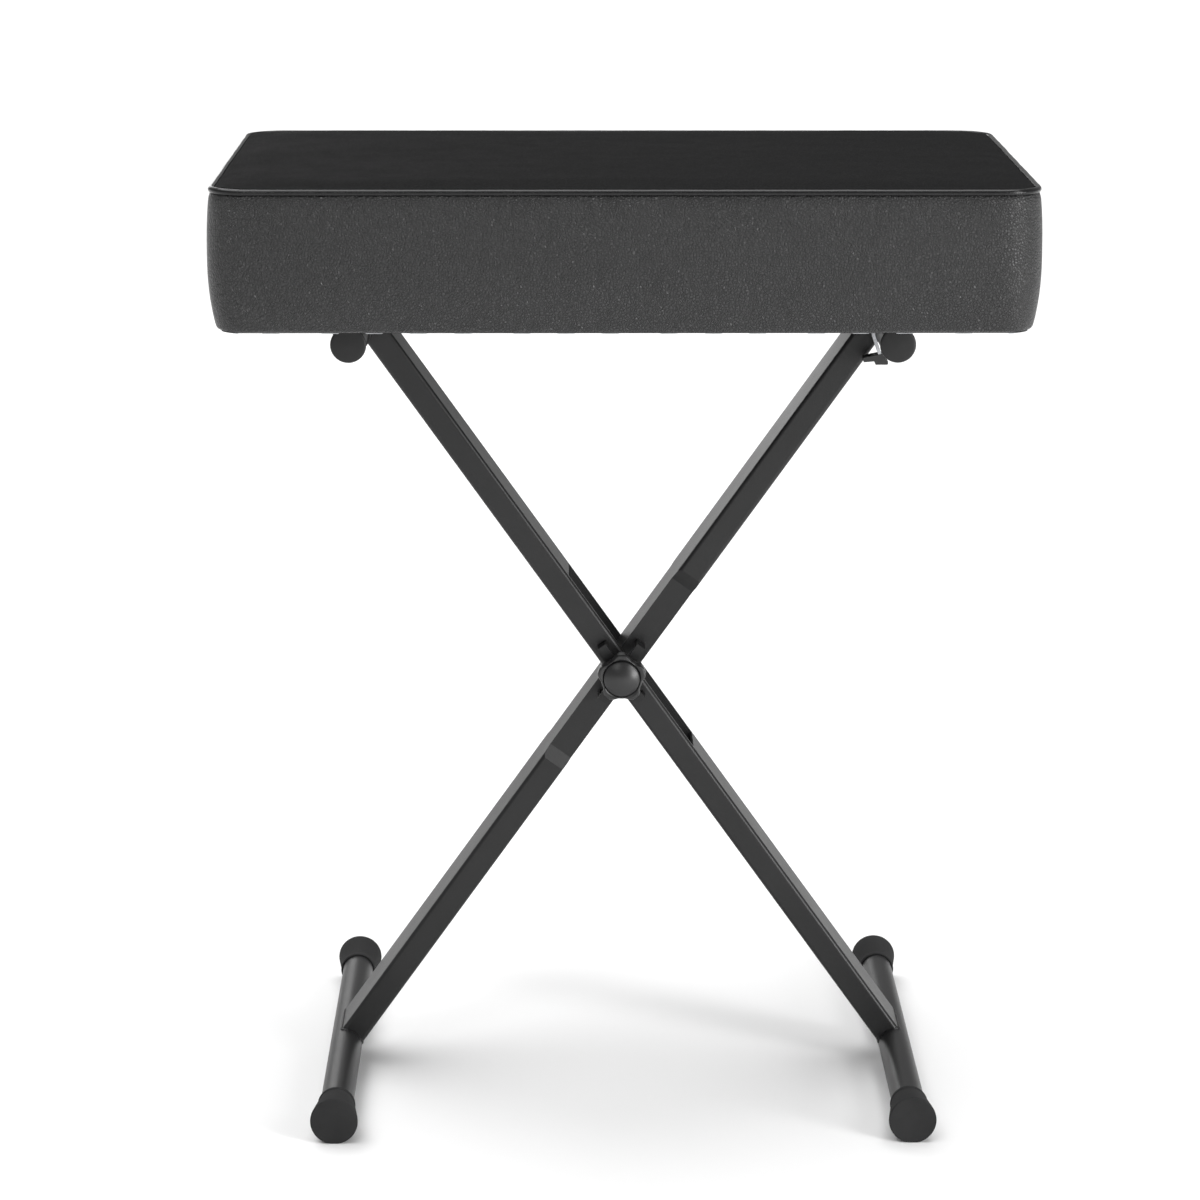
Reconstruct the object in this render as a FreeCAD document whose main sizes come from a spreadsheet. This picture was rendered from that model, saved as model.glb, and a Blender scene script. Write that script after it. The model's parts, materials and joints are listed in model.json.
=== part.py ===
import FreeCAD, Part
import math
import os
import re

import Sketcher
from FreeCAD import Placement, Rotation, Vector

# Folding keyboard bench: a padded seat on an X of two rectangular legs that fold at a locked pivot.
# Frame: +X right, +Y back, +Z up, millimetres; the origin is on the floor under the seat's middle.
# The outer leg is a fork that runs from upper left to lower right; the inner leg passes through it.

# Driving sizes
SIZES = {
    "seat_width": 460.0,
    "seat_depth": 301.4,
    "seat_thickness": 79.6,
    "seat_corner": 24.0,
    "bottom_draw": 3.6,
    "top_draw": 1.2,
    "bottom_round": 3.0,
    "crown_rise": 5.0,
    "piping_radius": 2.6,
    "cover_wrap": 9.0,
    "board_thickness": 12.0,
    "dust_cover_thickness": 0.8,
    "leg_angle": 54.6,
    "leg_lower": 286.0,
    "leg_width": 15.0,
    "leg_depth": 40.0,
    "leg_wall": 1.5,
    "leg_rounding": 2.4,
    "tube_radius": 9.5,
    "tube_wall": 1.5,
    "foot_length": 306.0,
    "foot_cap_flare": 4.15,
    "foot_cap_wall": 1.7,
    "foot_cap_lip": 0.3,
    "foot_cap_lip_length": 3.0,
    "foot_cap_length": 29.0,
    "foot_cap_band": 2.0,
    "cap_bevel": 1.0,
    "cap_end_wall": 3.0,
    "ground_flat": 0.4,
    "cross_length": 150.0,
    "cross_cap_lip": 0.8,
    "cross_cap_plug": 9.0,
    "cross_along": 255.9,
    "cross_offset": 9.5,
    "cheek_thickness": 4.0,
    "fork_half": 64.0,
    "press_half": 62.0,
    "press_slope": 8.0,
    "bar_half": 88.0,
    "side_gap": 0.3,
    "fit_gap": 0.05,
    "spindle_gap": 0.3,
    "sleeve_wall": 1.2,
    "bush_wall": 0.75,
    "running_gap": 0.04,
    "flange_step": 2.5,
    "flange_thickness": 1.5,
    "spindle_radius": 3.0,
    "shoulder_step": 2.2,
    "spindle_bevel": 0.8,
    "plate_thickness": 2.5,
    "plate_stand": 7.5,
    "plate_hub_radius": 9.0,
    "lug_reach": 20.2,
    "lug_width": 5.5,
    "lug_thickness": 2.5,
    "lug_entry": 1.2,
    "hub_length": 4.4,
    "hub_step": 1.8,
    "knob_thickness": 8.0,
    "knob_core_radius": 12.1,
    "lobe_radius": 4.0,
    "lobe_centre": 10.4,
    "knob_cap_radius": 10.6,
    "knob_cap_rise": 3.6,
    "spring_length": 16.0,
    "spring_coils": 4.0,
    "spring_gap": 1.2,
    "spring_wire": 1.2,
    "end_washer_margin": 1.2,
    "end_washer_thickness": 1.5,
    "nut_wall": 2.5,
    "nut_thickness": 5.0,
    "spindle_tail": 2.0,
    "rest_gap": 0.3,
    "cleat_thickness": 8.4,
    "cleat_length": 62.0,
    "rail_inner": 8.0,
    "rail_length": 66.0,
    "block_corner": 4.0,
    "block_front": 70.0,
    "block_back": 23.0,
    "saddle_front": 37.0,
    "saddle_width": 13.0,
    "saddle_wall": 1.2,
    "saddle_gap": 0.05,
    "flange_length": 15.0,
    "screw_radius": 1.9,
    "screw_head_radius": 3.6,
    "screw_head": 1.8,
    "screw_bite": 9.0,
    "catch_front": 38.0,
    "catch_width": 16.0,
    "catch_sheet": 1.5,
    "catch_pin_radius": 1.5,
    "catch_pin_drop": 7.4,
    "catch_pin_inset": 13.4,
    "pin_head": 1.0,
    "bracket_left": 8.0,
    "bracket_right": 3.0,
    "bracket_margin": 1.9,
    "bracket_screw_inset": 4.5,
    "strap_thickness": 2.0,
    "strap_width": 9.0,
    "strap_clearance": 0.4,
    "strap_bend_drop": 1.0,
    "strap_foot_turn": 1.9,
    "strap_foot_drop": 4.0,
    "strap_top_offset": 1.6,
    "strap_top_width": 1.4,
    "knuckle_wall": 1.7,
    "grip_width": 10.4,
    "grip_rounding": 0.6,
}

# Places worked out from the driving sizes
PLACES = {
    "foot_cap_radius": "tube_radius + foot_cap_flare",
    "foot_cap_neck": "tube_radius + foot_cap_wall",
    "cross_cap_radius": "tube_radius + cross_cap_lip",
    "sleeve_bore": "spindle_radius + spindle_gap",
    "sleeve_radius": "sleeve_bore + sleeve_wall",
    "flange_radius": "sleeve_radius + flange_step",
    "shoulder_radius": "spindle_radius + shoulder_step",
    "hub_radius": "shoulder_radius + hub_step",
    "spring_radius": "spindle_radius + spring_gap + spring_wire / 2",
    "end_washer_radius": "spring_radius + spring_wire / 2 + end_washer_margin",
    "nut_radius": "spindle_radius + nut_wall",
    "foot_reach": "leg_lower * cos(leg_angle * 1deg)",
    "foot_height": "foot_cap_radius - ground_flat",
    "pivot_height": "foot_cap_radius - ground_flat + leg_lower * sin(leg_angle * 1deg)",
    "cross_reach": "cross_along * cos(leg_angle * 1deg) + cross_offset * sin(leg_angle * 1deg)",
    "cross_height": "pivot_height + cross_along * sin(leg_angle * 1deg)"
                    " - cross_offset * cos(leg_angle * 1deg)",
    "block_height": "cross_height + tube_radius + rest_gap",
    "seat_base": "block_height + cleat_thickness",
    "board_base": "seat_base + dust_cover_thickness",
    "leg_front": "leg_depth / 2",
    "slot_half": "leg_depth / 2 - cheek_thickness",
    "press_depth": "leg_depth / 2 - cheek_thickness - side_gap",
    "sleeve_front": "leg_front + flange_thickness",
    "plate_back": "leg_front + plate_stand",
    "plate_front": "plate_back + plate_thickness",
    "knob_back": "plate_front + hub_length",
    "knob_front": "knob_back + knob_thickness",
    "spring_end": "leg_front + flange_thickness + spring_length",
    "nut_start": "spring_end + end_washer_thickness",
    "spindle_end": "nut_start + nut_thickness + spindle_tail",
    "catch_pin_reach": "cross_reach - catch_pin_inset",
    "catch_pin_height": "seat_base - catch_pin_drop",
}

doc = FreeCAD.newDocument("FoldingKeyboardBench")
OWNER = {}
NODES = {}


def bound(text):
    """An expression with each size or place name tied to its sheet."""
    return re.sub(r"[a-z]+(?:_[a-z]+)+", lambda word: f"{OWNER[word.group()]}.{word.group()}", text)


def fill_sheets():
    """The sheet of driving sizes and the sheet of places worked out from them."""
    sizes = doc.addObject("Spreadsheet::Sheet", "Sizes")
    for row, (alias, number) in enumerate(SIZES.items(), 1):
        sizes.set(f"A{row}", alias.replace("_", " "))
        sizes.set(f"B{row}", str(number))
        sizes.setAlias(f"B{row}", alias)
        OWNER[alias] = "Sizes"
    doc.recompute()
    places = doc.addObject("Spreadsheet::Sheet", "Places")
    for row, (alias, formula) in enumerate(PLACES.items(), 1):
        places.set(f"A{row}", alias.replace("_", " "))
        places.set(f"B{row}", "=" + bound(formula).replace("Places.", ""))
        places.setAlias(f"B{row}", alias)
        OWNER[alias] = "Places"
        doc.recompute()


def size(alias):
    """The number that a sheet holds for a size or place."""
    return float(getattr(doc.getObject(OWNER[alias]), alias))


def bind(thing, **texts):
    for name, text in texts.items():
        thing.setExpression(name.replace("__", "."), bound(text))
    return thing


def block(name, ends_x, ends_y, ends_z):
    """A box between two expressions on each axis."""
    box = doc.addObject("Part::Box", name)
    spans = [f"({high}) - ({low})" for low, high in (ends_x, ends_y, ends_z)]
    bind(box, Length=spans[0], Width=spans[1], Height=spans[2])
    return bind(box, Placement__Base__x=ends_x[0], Placement__Base__y=ends_y[0],
                Placement__Base__z=ends_z[0])


def rod(name, radius, ends, x="0", z="0"):
    """A cylinder along Y."""
    bar = doc.addObject("Part::Cylinder", name)
    bar.Placement = Placement(Vector(), Rotation(Vector(1, 0, 0), -90))
    bind(bar, Radius=radius, Height=f"({ends[1]}) - ({ends[0]})")
    return bind(bar, Placement__Base__x=x, Placement__Base__y=ends[0], Placement__Base__z=z)


def post(name, radius, ends, x, y):
    """A cylinder along Z."""
    pole = doc.addObject("Part::Cylinder", name)
    bind(pole, Radius=radius, Height=f"({ends[1]}) - ({ends[0]})")
    return bind(pole, Placement__Base__x=x, Placement__Base__y=y, Placement__Base__z=ends[0])


def joined(name, *pieces):
    whole = doc.addObject("Part::MultiFuse", name)
    whole.Shapes = list(pieces)
    return whole


def cut(name, base, *tools):
    result = doc.addObject("Part::Cut", name)
    result.Base = base
    result.Tool = tools[0] if len(tools) == 1 else joined(name + "_tools", *tools)
    return result


def node(name, thing):
    """Names a finished sub-part."""
    thing.Label = name
    NODES[name] = thing
    return thing


def body_of(name):
    return doc.addObject("PartDesign::Body", name + "_body")


def sketch_on(body, role, name):
    plane = next(item for item in body.Origin.OriginFeatures if item.Role == role)
    sketch = body.newObject("Sketcher::SketchObject", name)
    sketch.AttachmentSupport = (plane, "")
    sketch.MapMode = "FlatFace"
    return sketch


def outline(sketch, corners):
    """A closed outline of straight sides; each corner is a pair of expressions."""
    count = len(corners)
    start = sketch.GeometryCount
    ring = [Vector(math.cos(math.tau * k / count), math.sin(math.tau * k / count), 0) * 10
            for k in range(count)]
    for k in range(count):
        sketch.addGeometry(Part.LineSegment(ring[k], ring[(k + 1) % count]), False)
    for k in range(count):
        sketch.addConstraint(Sketcher.Constraint("Coincident", start + k, 2,
                                                 start + (k + 1) % count, 1))
    for k, corner in enumerate(corners):
        for kind, text, rough in zip(("DistanceX", "DistanceY"), corner, (ring[k].x, ring[k].y)):
            place = sketch.addConstraint(Sketcher.Constraint(kind, -1, 1, start + k, 1, rough))
            sketch.setExpression(f"Constraints[{place}]", bound(text))
    return sketch


def circle(sketch, radius, centre=("0", "0")):
    ring = sketch.addGeometry(Part.Circle(Vector(1, 1, 0), Vector(0, 0, 1), 2), False)
    place = sketch.addConstraint(Sketcher.Constraint("Radius", ring, 2))
    sketch.setExpression(f"Constraints[{place}]", bound(radius))
    for kind, text in zip(("DistanceX", "DistanceY"), centre):
        place = sketch.addConstraint(Sketcher.Constraint(kind, -1, 1, ring, 3, 1))
        sketch.setExpression(f"Constraints[{place}]", bound(text))
    return sketch


def padded(body, name, sketch, length):
    """A pad of even depth on both sides of its sketch."""
    pad = body.newObject("PartDesign::Pad", name)
    pad.Profile = sketch
    pad.Midplane = True
    bind(pad, Length=length)
    sketch.Visibility = False
    return pad


def rounded(body, name, base, radius, wanted):
    """A fillet on the edges that a test picks."""
    doc.recompute()
    edges = [f"Edge{k}" for k, edge in enumerate(base.Shape.Edges, 1) if wanted(edge)]
    fillet = body.newObject("PartDesign::Fillet", name)
    fillet.Base = (base, edges)
    bind(fillet, Radius=radius)
    return fillet


def runs_along(axis):
    def test(edge):
        if not isinstance(edge.Curve, Part.Line):
            return False
        return abs(abs(edge.tangentAt(edge.FirstParameter).dot(axis)) - 1) < 1e-6
    return test


def turned(name, corners, axis="H_Axis", role="XY_Plane"):
    """A piece turned about its own axis from a straight-sided profile."""
    body = body_of(name)
    sketch = outline(sketch_on(body, role, name + "_profile"), corners)
    turn = body.newObject("PartDesign::Revolution", name + "_turn")
    turn.Profile = sketch
    turn.ReferenceAxis = (sketch, [axis])
    turn.Angle = 360
    return body


def on_pivot(thing):
    """Moves a piece made round the origin to the pivot."""
    return bind(thing, Placement__Base__z="pivot_height")


def rounded_bar(name, ends, half_depth, half_width, radius):
    """A bar along X with its four long edges rounded."""
    body = body_of(name)
    corners = [(f"{sign_y} * ({half_depth})", f"{sign_z} * ({half_width})")
               for sign_y, sign_z in ((-1, -1), (1, -1), (1, 1), (-1, 1))]
    sketch = outline(sketch_on(body, "YZ_Plane", name + "_section"), corners)
    pad = padded(body, name + "_pad", sketch, f"({ends[1]}) - ({ends[0]})")
    rounded(body, name + "_rounding", pad, radius, runs_along(Vector(1, 0, 0)))
    return bind(body, Placement__Base__x=f"(({ends[0]}) + ({ends[1]})) / 2")


# Legs

SIDES = {"outer": 1, "inner": -1}
LEG_TOP = "cross_along + 3 * tube_radius"


def lean(thing, side):
    """Turns a piece from the leg's own frame (+X up the leg) into the bench's frame."""
    angle = "180 - leg_angle" if side == "outer" else "leg_angle"
    thing.Placement = Placement(Vector(), Rotation(Vector(0, -1, 0), 45))
    bind(thing, Placement__Rotation__Angle=angle)
    return on_pivot(thing)


def seated(side, blank):
    """Leans a leg over, copes it onto its foot tube and cross tube, and cuts its top level."""
    sign = -SIDES[side]
    deep = ("-leg_depth", "leg_depth")
    foot = rod(f"{side}_foot_seat", "tube_radius + fit_gap", deep, f"{-sign} * foot_reach",
               "foot_height")
    cross = rod(f"{side}_cross_seat", "tube_radius + fit_gap", deep, f"{sign} * cross_reach",
                "cross_height")
    reach = ("cross_reach", "2 * cross_reach") if sign > 0 else ("-2 * cross_reach", "-cross_reach")
    past = block(f"{side}_past_cross", reach, deep, ("pivot_height", "2 * cross_height"))
    level = block(f"{side}_level", ("-2 * cross_reach", "2 * cross_reach"), deep,
                  ("cross_height + tube_radius", "2 * cross_height"))
    return cut(f"{side}_leg_seated", lean(blank, side), foot, cross, past, level)


def leg_tube(side, waist=None):
    """The rectangular tube with rounded edges, still blank at both ends."""
    ends = ("-leg_lower", LEG_TOP)
    skin = rounded_bar(f"{side}_skin", ends, "leg_front", "leg_width / 2", "leg_rounding")
    core = rounded_bar(f"{side}_core", (f"{ends[0]} - 1", f"{ends[1]} + 1"),
                       "leg_front - leg_wall", "leg_width / 2 - leg_wall",
                       "leg_rounding - leg_wall")
    if waist:
        skin = cut(f"{side}_pressed_skin", skin, *waist("skin", "0"))
        core = cut(f"{side}_pressed_core", core, *waist("core", "leg_wall"))
    return cut(f"{side}_tube", skin, core)


def pressing(layer, wall):
    """The wedge-ended hollows that press the inner leg in front and behind."""
    hollows = []
    for sign, face in ((-1, "front"), (1, "back")):
        name = f"press_{layer}_{face}"
        body = body_of(name)
        deep = f"{sign} * (press_depth - {wall})"
        high = f"{sign} * (leg_front + 1 - {wall})"
        steep = f"(press_slope * (leg_front + 1 - press_depth) / (leg_front - press_depth) + {wall})"
        corners = [(f"-press_half - {wall}", deep), (f"press_half + {wall}", deep),
                   (f"press_half + {steep}", high), (f"-press_half - {steep}", high)]
        sketch = outline(sketch_on(body, "XY_Plane", name + "_outline"), corners)
        padded(body, name + "_pad", sketch, "2 * leg_width")
        hollows.append(body)
    return hollows


def outer_leg():
    blank = leg_tube("outer")
    slot = block("fork_slot", ("-fork_half", "fork_half"), ("-slot_half", "slot_half"),
                 ("-leg_width", "leg_width"))
    hole = rod("outer_sleeve_hole", "sleeve_radius + fit_gap", ("-leg_depth", "leg_depth"))
    lugs = [block(f"lug_slot_{end}",
                  (f"{sign} * (lug_reach - lug_thickness / 2) - lug_thickness / 2 - side_gap",
                   f"{sign} * (lug_reach - lug_thickness / 2) + lug_thickness / 2 + side_gap"),
                  ("-leg_front - 1", "-leg_front + leg_wall"),
                  ("-lug_width / 2 - side_gap", "lug_width / 2 + side_gap"))
            for end, sign in (("upper", 1), ("lower", -1))]
    node("outer_leg_tube", seated("outer", cut("outer_leg_cut", blank, slot, hole, *lugs)))
    for face, sign in (("front", -1), ("rear", 1)):
        near, far = "slot_half", "leg_front - leg_wall"
        ends = (near, far) if sign > 0 else (f"-({far})", f"-{near}")
        bar = block(f"fork_bar_{face}_blank", ("-bar_half", "bar_half"), ends,
                    ("-leg_width / 2 + leg_wall + fit_gap", "leg_width / 2 - leg_wall - fit_gap"))
        corners = doc.addObject("Part::Chamfer", f"fork_bar_{face}_edges")
        corners.Base = bar
        doc.recompute()
        long_edges = runs_along(Vector(1, 0, 0))
        bevel = size("leg_rounding") - size("leg_wall")
        corners.Edges = [(k, bevel, bevel) for k, edge in enumerate(bar.Shape.Edges, 1)
                         if long_edges(edge) and abs(edge.CenterOfMass.y) > size("slot_half") + 1]
        hole = rod(f"fork_bar_{face}_hole", "sleeve_radius + fit_gap", ("-leg_depth", "leg_depth"))
        node(f"fork_bar_{face}", lean(cut(f"fork_bar_{face}_cut", corners, hole), "outer"))


def inner_leg():
    blank = leg_tube("inner", pressing)
    hole = rod("inner_bush_hole", "sleeve_radius + running_gap + bush_wall",
               ("-leg_depth", "leg_depth"))
    node("inner_leg_tube", seated("inner", cut("inner_leg_cut", blank, hole)))


def round_tube(name, length, x, z):
    half = f"{length} / 2"
    outside = rod(name + "_outside", "tube_radius", (f"-({half})", half), x, z)
    inside = rod(name + "_inside", "tube_radius - tube_wall", (f"-({half}) - 1", f"{half} + 1"), x, z)
    node(name, cut(name + "_cut", outside, inside))


def foot_cap(name, x, face):
    """The flared rubber end of a foot tube, with a narrow flat moulded where it stands."""
    bore = "tube_radius + fit_gap"
    lip_start = "foot_cap_length - foot_cap_lip_length"
    lip = "foot_cap_neck + foot_cap_lip"
    corners = [("0", "0"), ("0", "foot_cap_radius - cap_bevel"), ("cap_bevel", "foot_cap_radius"),
               ("foot_cap_band", "foot_cap_radius"), (lip_start, "foot_cap_neck"),
               (lip_start, lip), ("foot_cap_length", lip),
               ("foot_cap_length", bore), ("cap_end_wall", bore), ("cap_end_wall", "0")]
    body = turned(name, corners)
    ground = block(name + "_ground", ("-1", "foot_cap_length + 1"),
                   ("-2 * foot_cap_radius", "2 * foot_cap_radius"),
                   ("-2 * foot_cap_radius", "-foot_height"))
    cap = cut(name + "_cut", body, ground)
    sign = -1 if face == "front" else 1
    cap.Placement = Placement(Vector(), Rotation(Vector(0, 0, 1), -90 * sign))
    bind(cap, Placement__Base__x=x, Placement__Base__y=f"{sign} * foot_length / 2",
         Placement__Base__z="foot_height")
    node(name, cap)


def cross_cap(name, x, face):
    """The thin cap that plugs the end of a cross tube."""
    plug = "tube_radius - tube_wall - fit_gap"
    plug_end = "cap_end_wall + cross_cap_plug"
    corners = [("0", "0"), ("0", "cross_cap_radius - cap_bevel"), ("cap_bevel", "cross_cap_radius"),
               ("cap_end_wall", "cross_cap_radius"), ("cap_end_wall", plug),
               (plug_end, plug), (plug_end, "0")]
    cap = turned(name, corners)
    sign = -1 if face == "front" else 1
    cap.Placement = Placement(Vector(), Rotation(Vector(0, 0, 1), -90 * sign))
    bind(cap, Placement__Base__x=x, Placement__Base__y=f"{sign} * cross_length / 2",
         Placement__Base__z="cross_height")
    node(name, cap)


def tubes_and_caps():
    places = {"outer": ("foot_reach", "-cross_reach", "hinge"),
              "inner": ("-foot_reach", "cross_reach", "rest")}
    for side, (foot_x, cross_x, role) in places.items():
        round_tube(f"{side}_foot_tube", "(foot_length - 2 * cap_end_wall)", foot_x, "foot_height")
        round_tube(f"{role}_cross_tube", "(cross_length - 2 * cap_end_wall)", cross_x,
                   "cross_height")
        for face in ("front", "rear"):
            foot_cap(f"{side}_foot_cap_{face}", foot_x, face)
            cross_cap(f"{role}_tube_cap_{face}", cross_x, face)


# Pivot and lock

def pivot_parts():
    sleeve = turned("pivot_sleeve", [
        ("sleeve_bore", "-sleeve_front"), ("flange_radius", "-sleeve_front"),
        ("flange_radius", "-leg_front"), ("sleeve_radius", "-leg_front"),
        ("sleeve_radius", "sleeve_front"), ("sleeve_bore", "sleeve_front")], "V_Axis")
    node("pivot_sleeve", on_pivot(sleeve))
    washer = turned("pivot_washer", [
        ("sleeve_radius + fit_gap", "leg_front"), ("flange_radius", "leg_front"),
        ("flange_radius", "sleeve_front"), ("sleeve_radius + fit_gap", "sleeve_front")], "V_Axis")
    node("pivot_washer", on_pivot(washer))
    inner, outer = "sleeve_radius + running_gap", "sleeve_radius + running_gap + bush_wall"
    bush = turned("pivot_bush", [(inner, "-press_depth"), (outer, "-press_depth"),
                                 (outer, "press_depth"), (inner, "press_depth")], "V_Axis")
    node("pivot_bush", on_pivot(bush))


def star_knob():
    """Five lobes round a core with bevelled rims, a hub behind and a bore for the spindle."""
    body = body_of("star_knob")
    core = circle(sketch_on(body, "XZ_Plane", "knob_core"), "knob_core_radius")
    padded(body, "knob_core_pad", core, "knob_thickness")
    lobe_sketch = circle(sketch_on(body, "XZ_Plane", "knob_lobe"), "lobe_radius",
                         ("0", "lobe_centre"))
    lobe = padded(body, "knob_lobe_pad", lobe_sketch, "knob_thickness")
    doc.recompute()
    lobes = body.newObject("PartDesign::PolarPattern", "knob_lobes")
    lobes.Originals = [lobe]
    lobes.Axis = (lobe_sketch, ["N_Axis"])
    lobes.Angle = 360
    lobes.Occurrences = 5
    body.Tip = lobes

    half = size("knob_thickness") / 2
    doc.recompute()
    rims = [f"Edge{k}" for k, edge in enumerate(lobes.Shape.Edges, 1)
            if abs(abs(edge.CenterOfMass.y) - half) < 1e-4]
    bevel = body.newObject("PartDesign::Chamfer", "knob_bevel")
    bevel.Base = (lobes, rims)
    bind(bevel, Size="knob_thickness / 8")
    bind(body, Placement__Base__y="-(knob_back + knob_front) / 2")
    hub = rod("knob_hub", "hub_radius", ("-knob_back - 1", "-plate_front"))
    bore = rod("knob_bore", "spindle_radius", ("-knob_front + cap_end_wall", "0"))
    whole = cut("star_knob_cut", joined("knob_with_hub", body, hub), bore)
    node("star_knob", on_pivot(whole))


def knob_small_parts():
    crown = turned("knob_cap", [
        ("0", "-knob_front"), ("knob_cap_radius", "-knob_front"),
        ("knob_cap_radius", "-knob_front - knob_cap_rise / 3"),
        ("knob_cap_radius * 0.85", "-knob_front - knob_cap_rise * 0.7"),
        ("knob_cap_radius * 0.5", "-knob_front - knob_cap_rise * 0.95"),
        ("0", "-knob_front - knob_cap_rise")], "V_Axis")
    node("knob_cap", on_pivot(crown))
    spindle = turned("knob_spindle", [
        ("0", "-knob_front + cap_end_wall"), ("spindle_radius", "-knob_front + cap_end_wall"),
        ("spindle_radius", "-plate_back"), ("shoulder_radius", "-plate_back"),
        ("shoulder_radius", "-sleeve_front - side_gap"),
        ("spindle_radius", "-sleeve_front - side_gap"), ("spindle_radius", "spindle_end - spindle_bevel"),
        ("spindle_radius - spindle_bevel", "spindle_end"), ("0", "spindle_end")], "V_Axis")
    node("knob_spindle", on_pivot(spindle))
    inner = "spindle_radius"
    washer = turned("spring_washer", [
        (inner, "spring_end"), ("end_washer_radius", "spring_end"),
        ("end_washer_radius", "nut_start"), (inner, "nut_start")], "V_Axis")
    node("spring_washer", on_pivot(washer))
    nut = doc.addObject("Part::Prism", "nut_blank")
    nut.Polygon = 6
    nut.Placement = Placement(Vector(), Rotation(Vector(1, 0, 0), -90))
    bind(nut, Circumradius="nut_radius", Height="nut_thickness", Placement__Base__y="nut_start")
    node("lock_nut", on_pivot(cut("lock_nut_cut", nut, rod("nut_bore", inner, (
        "nut_start - 1", "nut_start + 2 * nut_thickness")))))


def lock_plate():
    """An X of two bars with a lug bent back from each end; a lug lies over each leg arm."""
    pairs = []
    for side, tip in (("outer", "leg_front - lug_entry"), ("inner", "press_depth + side_gap")):
        bar = block(f"plate_bar_{side}", ("-lug_reach", "lug_reach"),
                    ("-plate_front", "-plate_back"), ("-lug_width / 2", "lug_width / 2"))
        lugs = [block(f"plate_lug_{side}_{end}", ends, ("-plate_front", f"-({tip})"),
                      ("-lug_width / 2", "lug_width / 2"))
                for end, ends in (("upper", ("lug_reach - lug_thickness", "lug_reach")),
                                  ("lower", ("-lug_reach", "-lug_reach + lug_thickness")))]
        pair = joined(f"plate_pair_{side}", bar, *lugs)
        angle = "180 - leg_angle" if side == "outer" else "leg_angle"
        pair.Placement = Placement(Vector(), Rotation(Vector(0, -1, 0), 45))
        pairs.append(bind(pair, Placement__Rotation__Angle=angle))
    hub = rod("plate_hub", "plate_hub_radius", ("-plate_front", "-plate_back"))
    hole = rod("plate_hole", "spindle_radius", ("-plate_front - 1", "-plate_back + 1"))
    node("lock_plate", on_pivot(cut("lock_plate_cut", joined("plate_whole", *pairs, hub), hole)))


def biarc(start, along_start, end, along_end):
    """Two tangent arcs between two points with given directions."""
    gap = end - start
    sum_of = along_start + along_end
    bend = 2 * (1 - along_start.dot(along_end))
    reach = (math.sqrt(gap.dot(sum_of) ** 2 + bend * gap.dot(gap)) - gap.dot(sum_of)) / bend
    middle = (start + along_start * reach + end - along_end * reach) * 0.5
    arcs = []
    for tail, head, along in ((start, middle, along_start), (end, middle, along_end * -1)):
        chord = head - tail
        half = chord.getAngle(along)
        side = (along - chord * (along.dot(chord) / chord.dot(chord))).normalize()
        crest = tail + chord * 0.5 + side * (chord.Length / 2 * math.tan(half / 2))
        arcs.append(Part.Arc(tail, crest, head) if tail == start else Part.Arc(head, crest, tail))
    return [arc.toShape() for arc in arcs]


def wound(edges, radius):
    """A round wire along tangent lines and arcs: a cylinder on each line, a ring piece on each arc."""
    pieces = []
    for edge in edges:
        start = edge.valueAt(edge.FirstParameter)
        disc = Part.Face(Part.Wire(Part.makeCircle(radius, start, edge.tangentAt(edge.FirstParameter))))
        if isinstance(edge.Curve, Part.Line):
            pieces.append(disc.extrude(edge.valueAt(edge.LastParameter) - start))
        else:
            angle = math.degrees(edge.LastParameter - edge.FirstParameter)
            pieces.append(disc.revolve(edge.Curve.Center, edge.Curve.Axis, angle))
    return pieces[0].multiFuse(pieces[1:])


def lock_spring():
    """The coil spring behind the legs; each of its ends runs straight for one wire."""
    radius = size("spring_radius")
    wire = size("spring_wire")
    halves = 2 * round(size("spring_coils"))
    low = size("sleeve_front") + wire / 2
    high = size("spring_end") - wire / 2
    step = (high - low) / halves
    slope = step / (radius * math.pi)
    points = []
    ways = []
    for k in range(halves + 1):
        side = 1 if k % 2 == 0 else -1
        points.append(Vector(radius * side, low + step * k, 0))
        ways.append(Vector(0, slope, side).normalize())
    ways[0] = Vector(0, 0, 1)
    ways[-1] = Vector(0, 0, 1)
    edges = [Part.LineSegment(points[0] - ways[0] * wire, points[0]).toShape()]
    for k in range(halves):
        edges += biarc(points[k], ways[k], points[k + 1], ways[k + 1])
    edges.append(Part.LineSegment(points[-1], points[-1] + ways[-1] * wire).toShape())
    per_half = 24
    samples = Part.Wire(edges).discretize(halves * per_half)
    apart = int(1.5 * per_half)
    gap = min((samples[a] - samples[b]).Length for a in range(len(samples))
              for b in range(a + apart, len(samples))) - wire
    print(f"spring: least gap to itself {gap:.2f} mm")
    spring = doc.addObject("Part::Feature", "spring_coil")
    spring.Shape = wound(edges, wire / 2)
    node("lock_spring", on_pivot(spring))


# Seat

def rounded_outline(inset, height):
    """The seat's plan outline of lines and arcs, drawn in by an inset."""
    half_x = size("seat_width") / 2 - inset
    half_y = size("seat_depth") / 2 - inset
    corner = max(size("seat_corner") - inset, size("seat_corner") / 3)
    edges = []
    for turn in range(4):
        angle = math.pi / 2 * turn
        sign_x = (1, -1, -1, 1)[turn]
        sign_y = (1, 1, -1, -1)[turn]
        hub = Vector(sign_x * (half_x - corner), sign_y * (half_y - corner), height)
        spots = [hub + Vector(math.cos(angle + part), math.sin(angle + part), 0) * corner
                 for part in (0, math.pi / 4, math.pi / 2)]
        if edges:
            edges.append(Part.LineSegment(edges[-1].Vertexes[-1].Point, spots[0]).toShape())
        edges.append(Part.Arc(*spots).toShape())
    edges.append(Part.LineSegment(edges[-1].Vertexes[-1].Point, edges[0].Vertexes[0].Point).toShape())
    return Part.Wire(edges)


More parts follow.
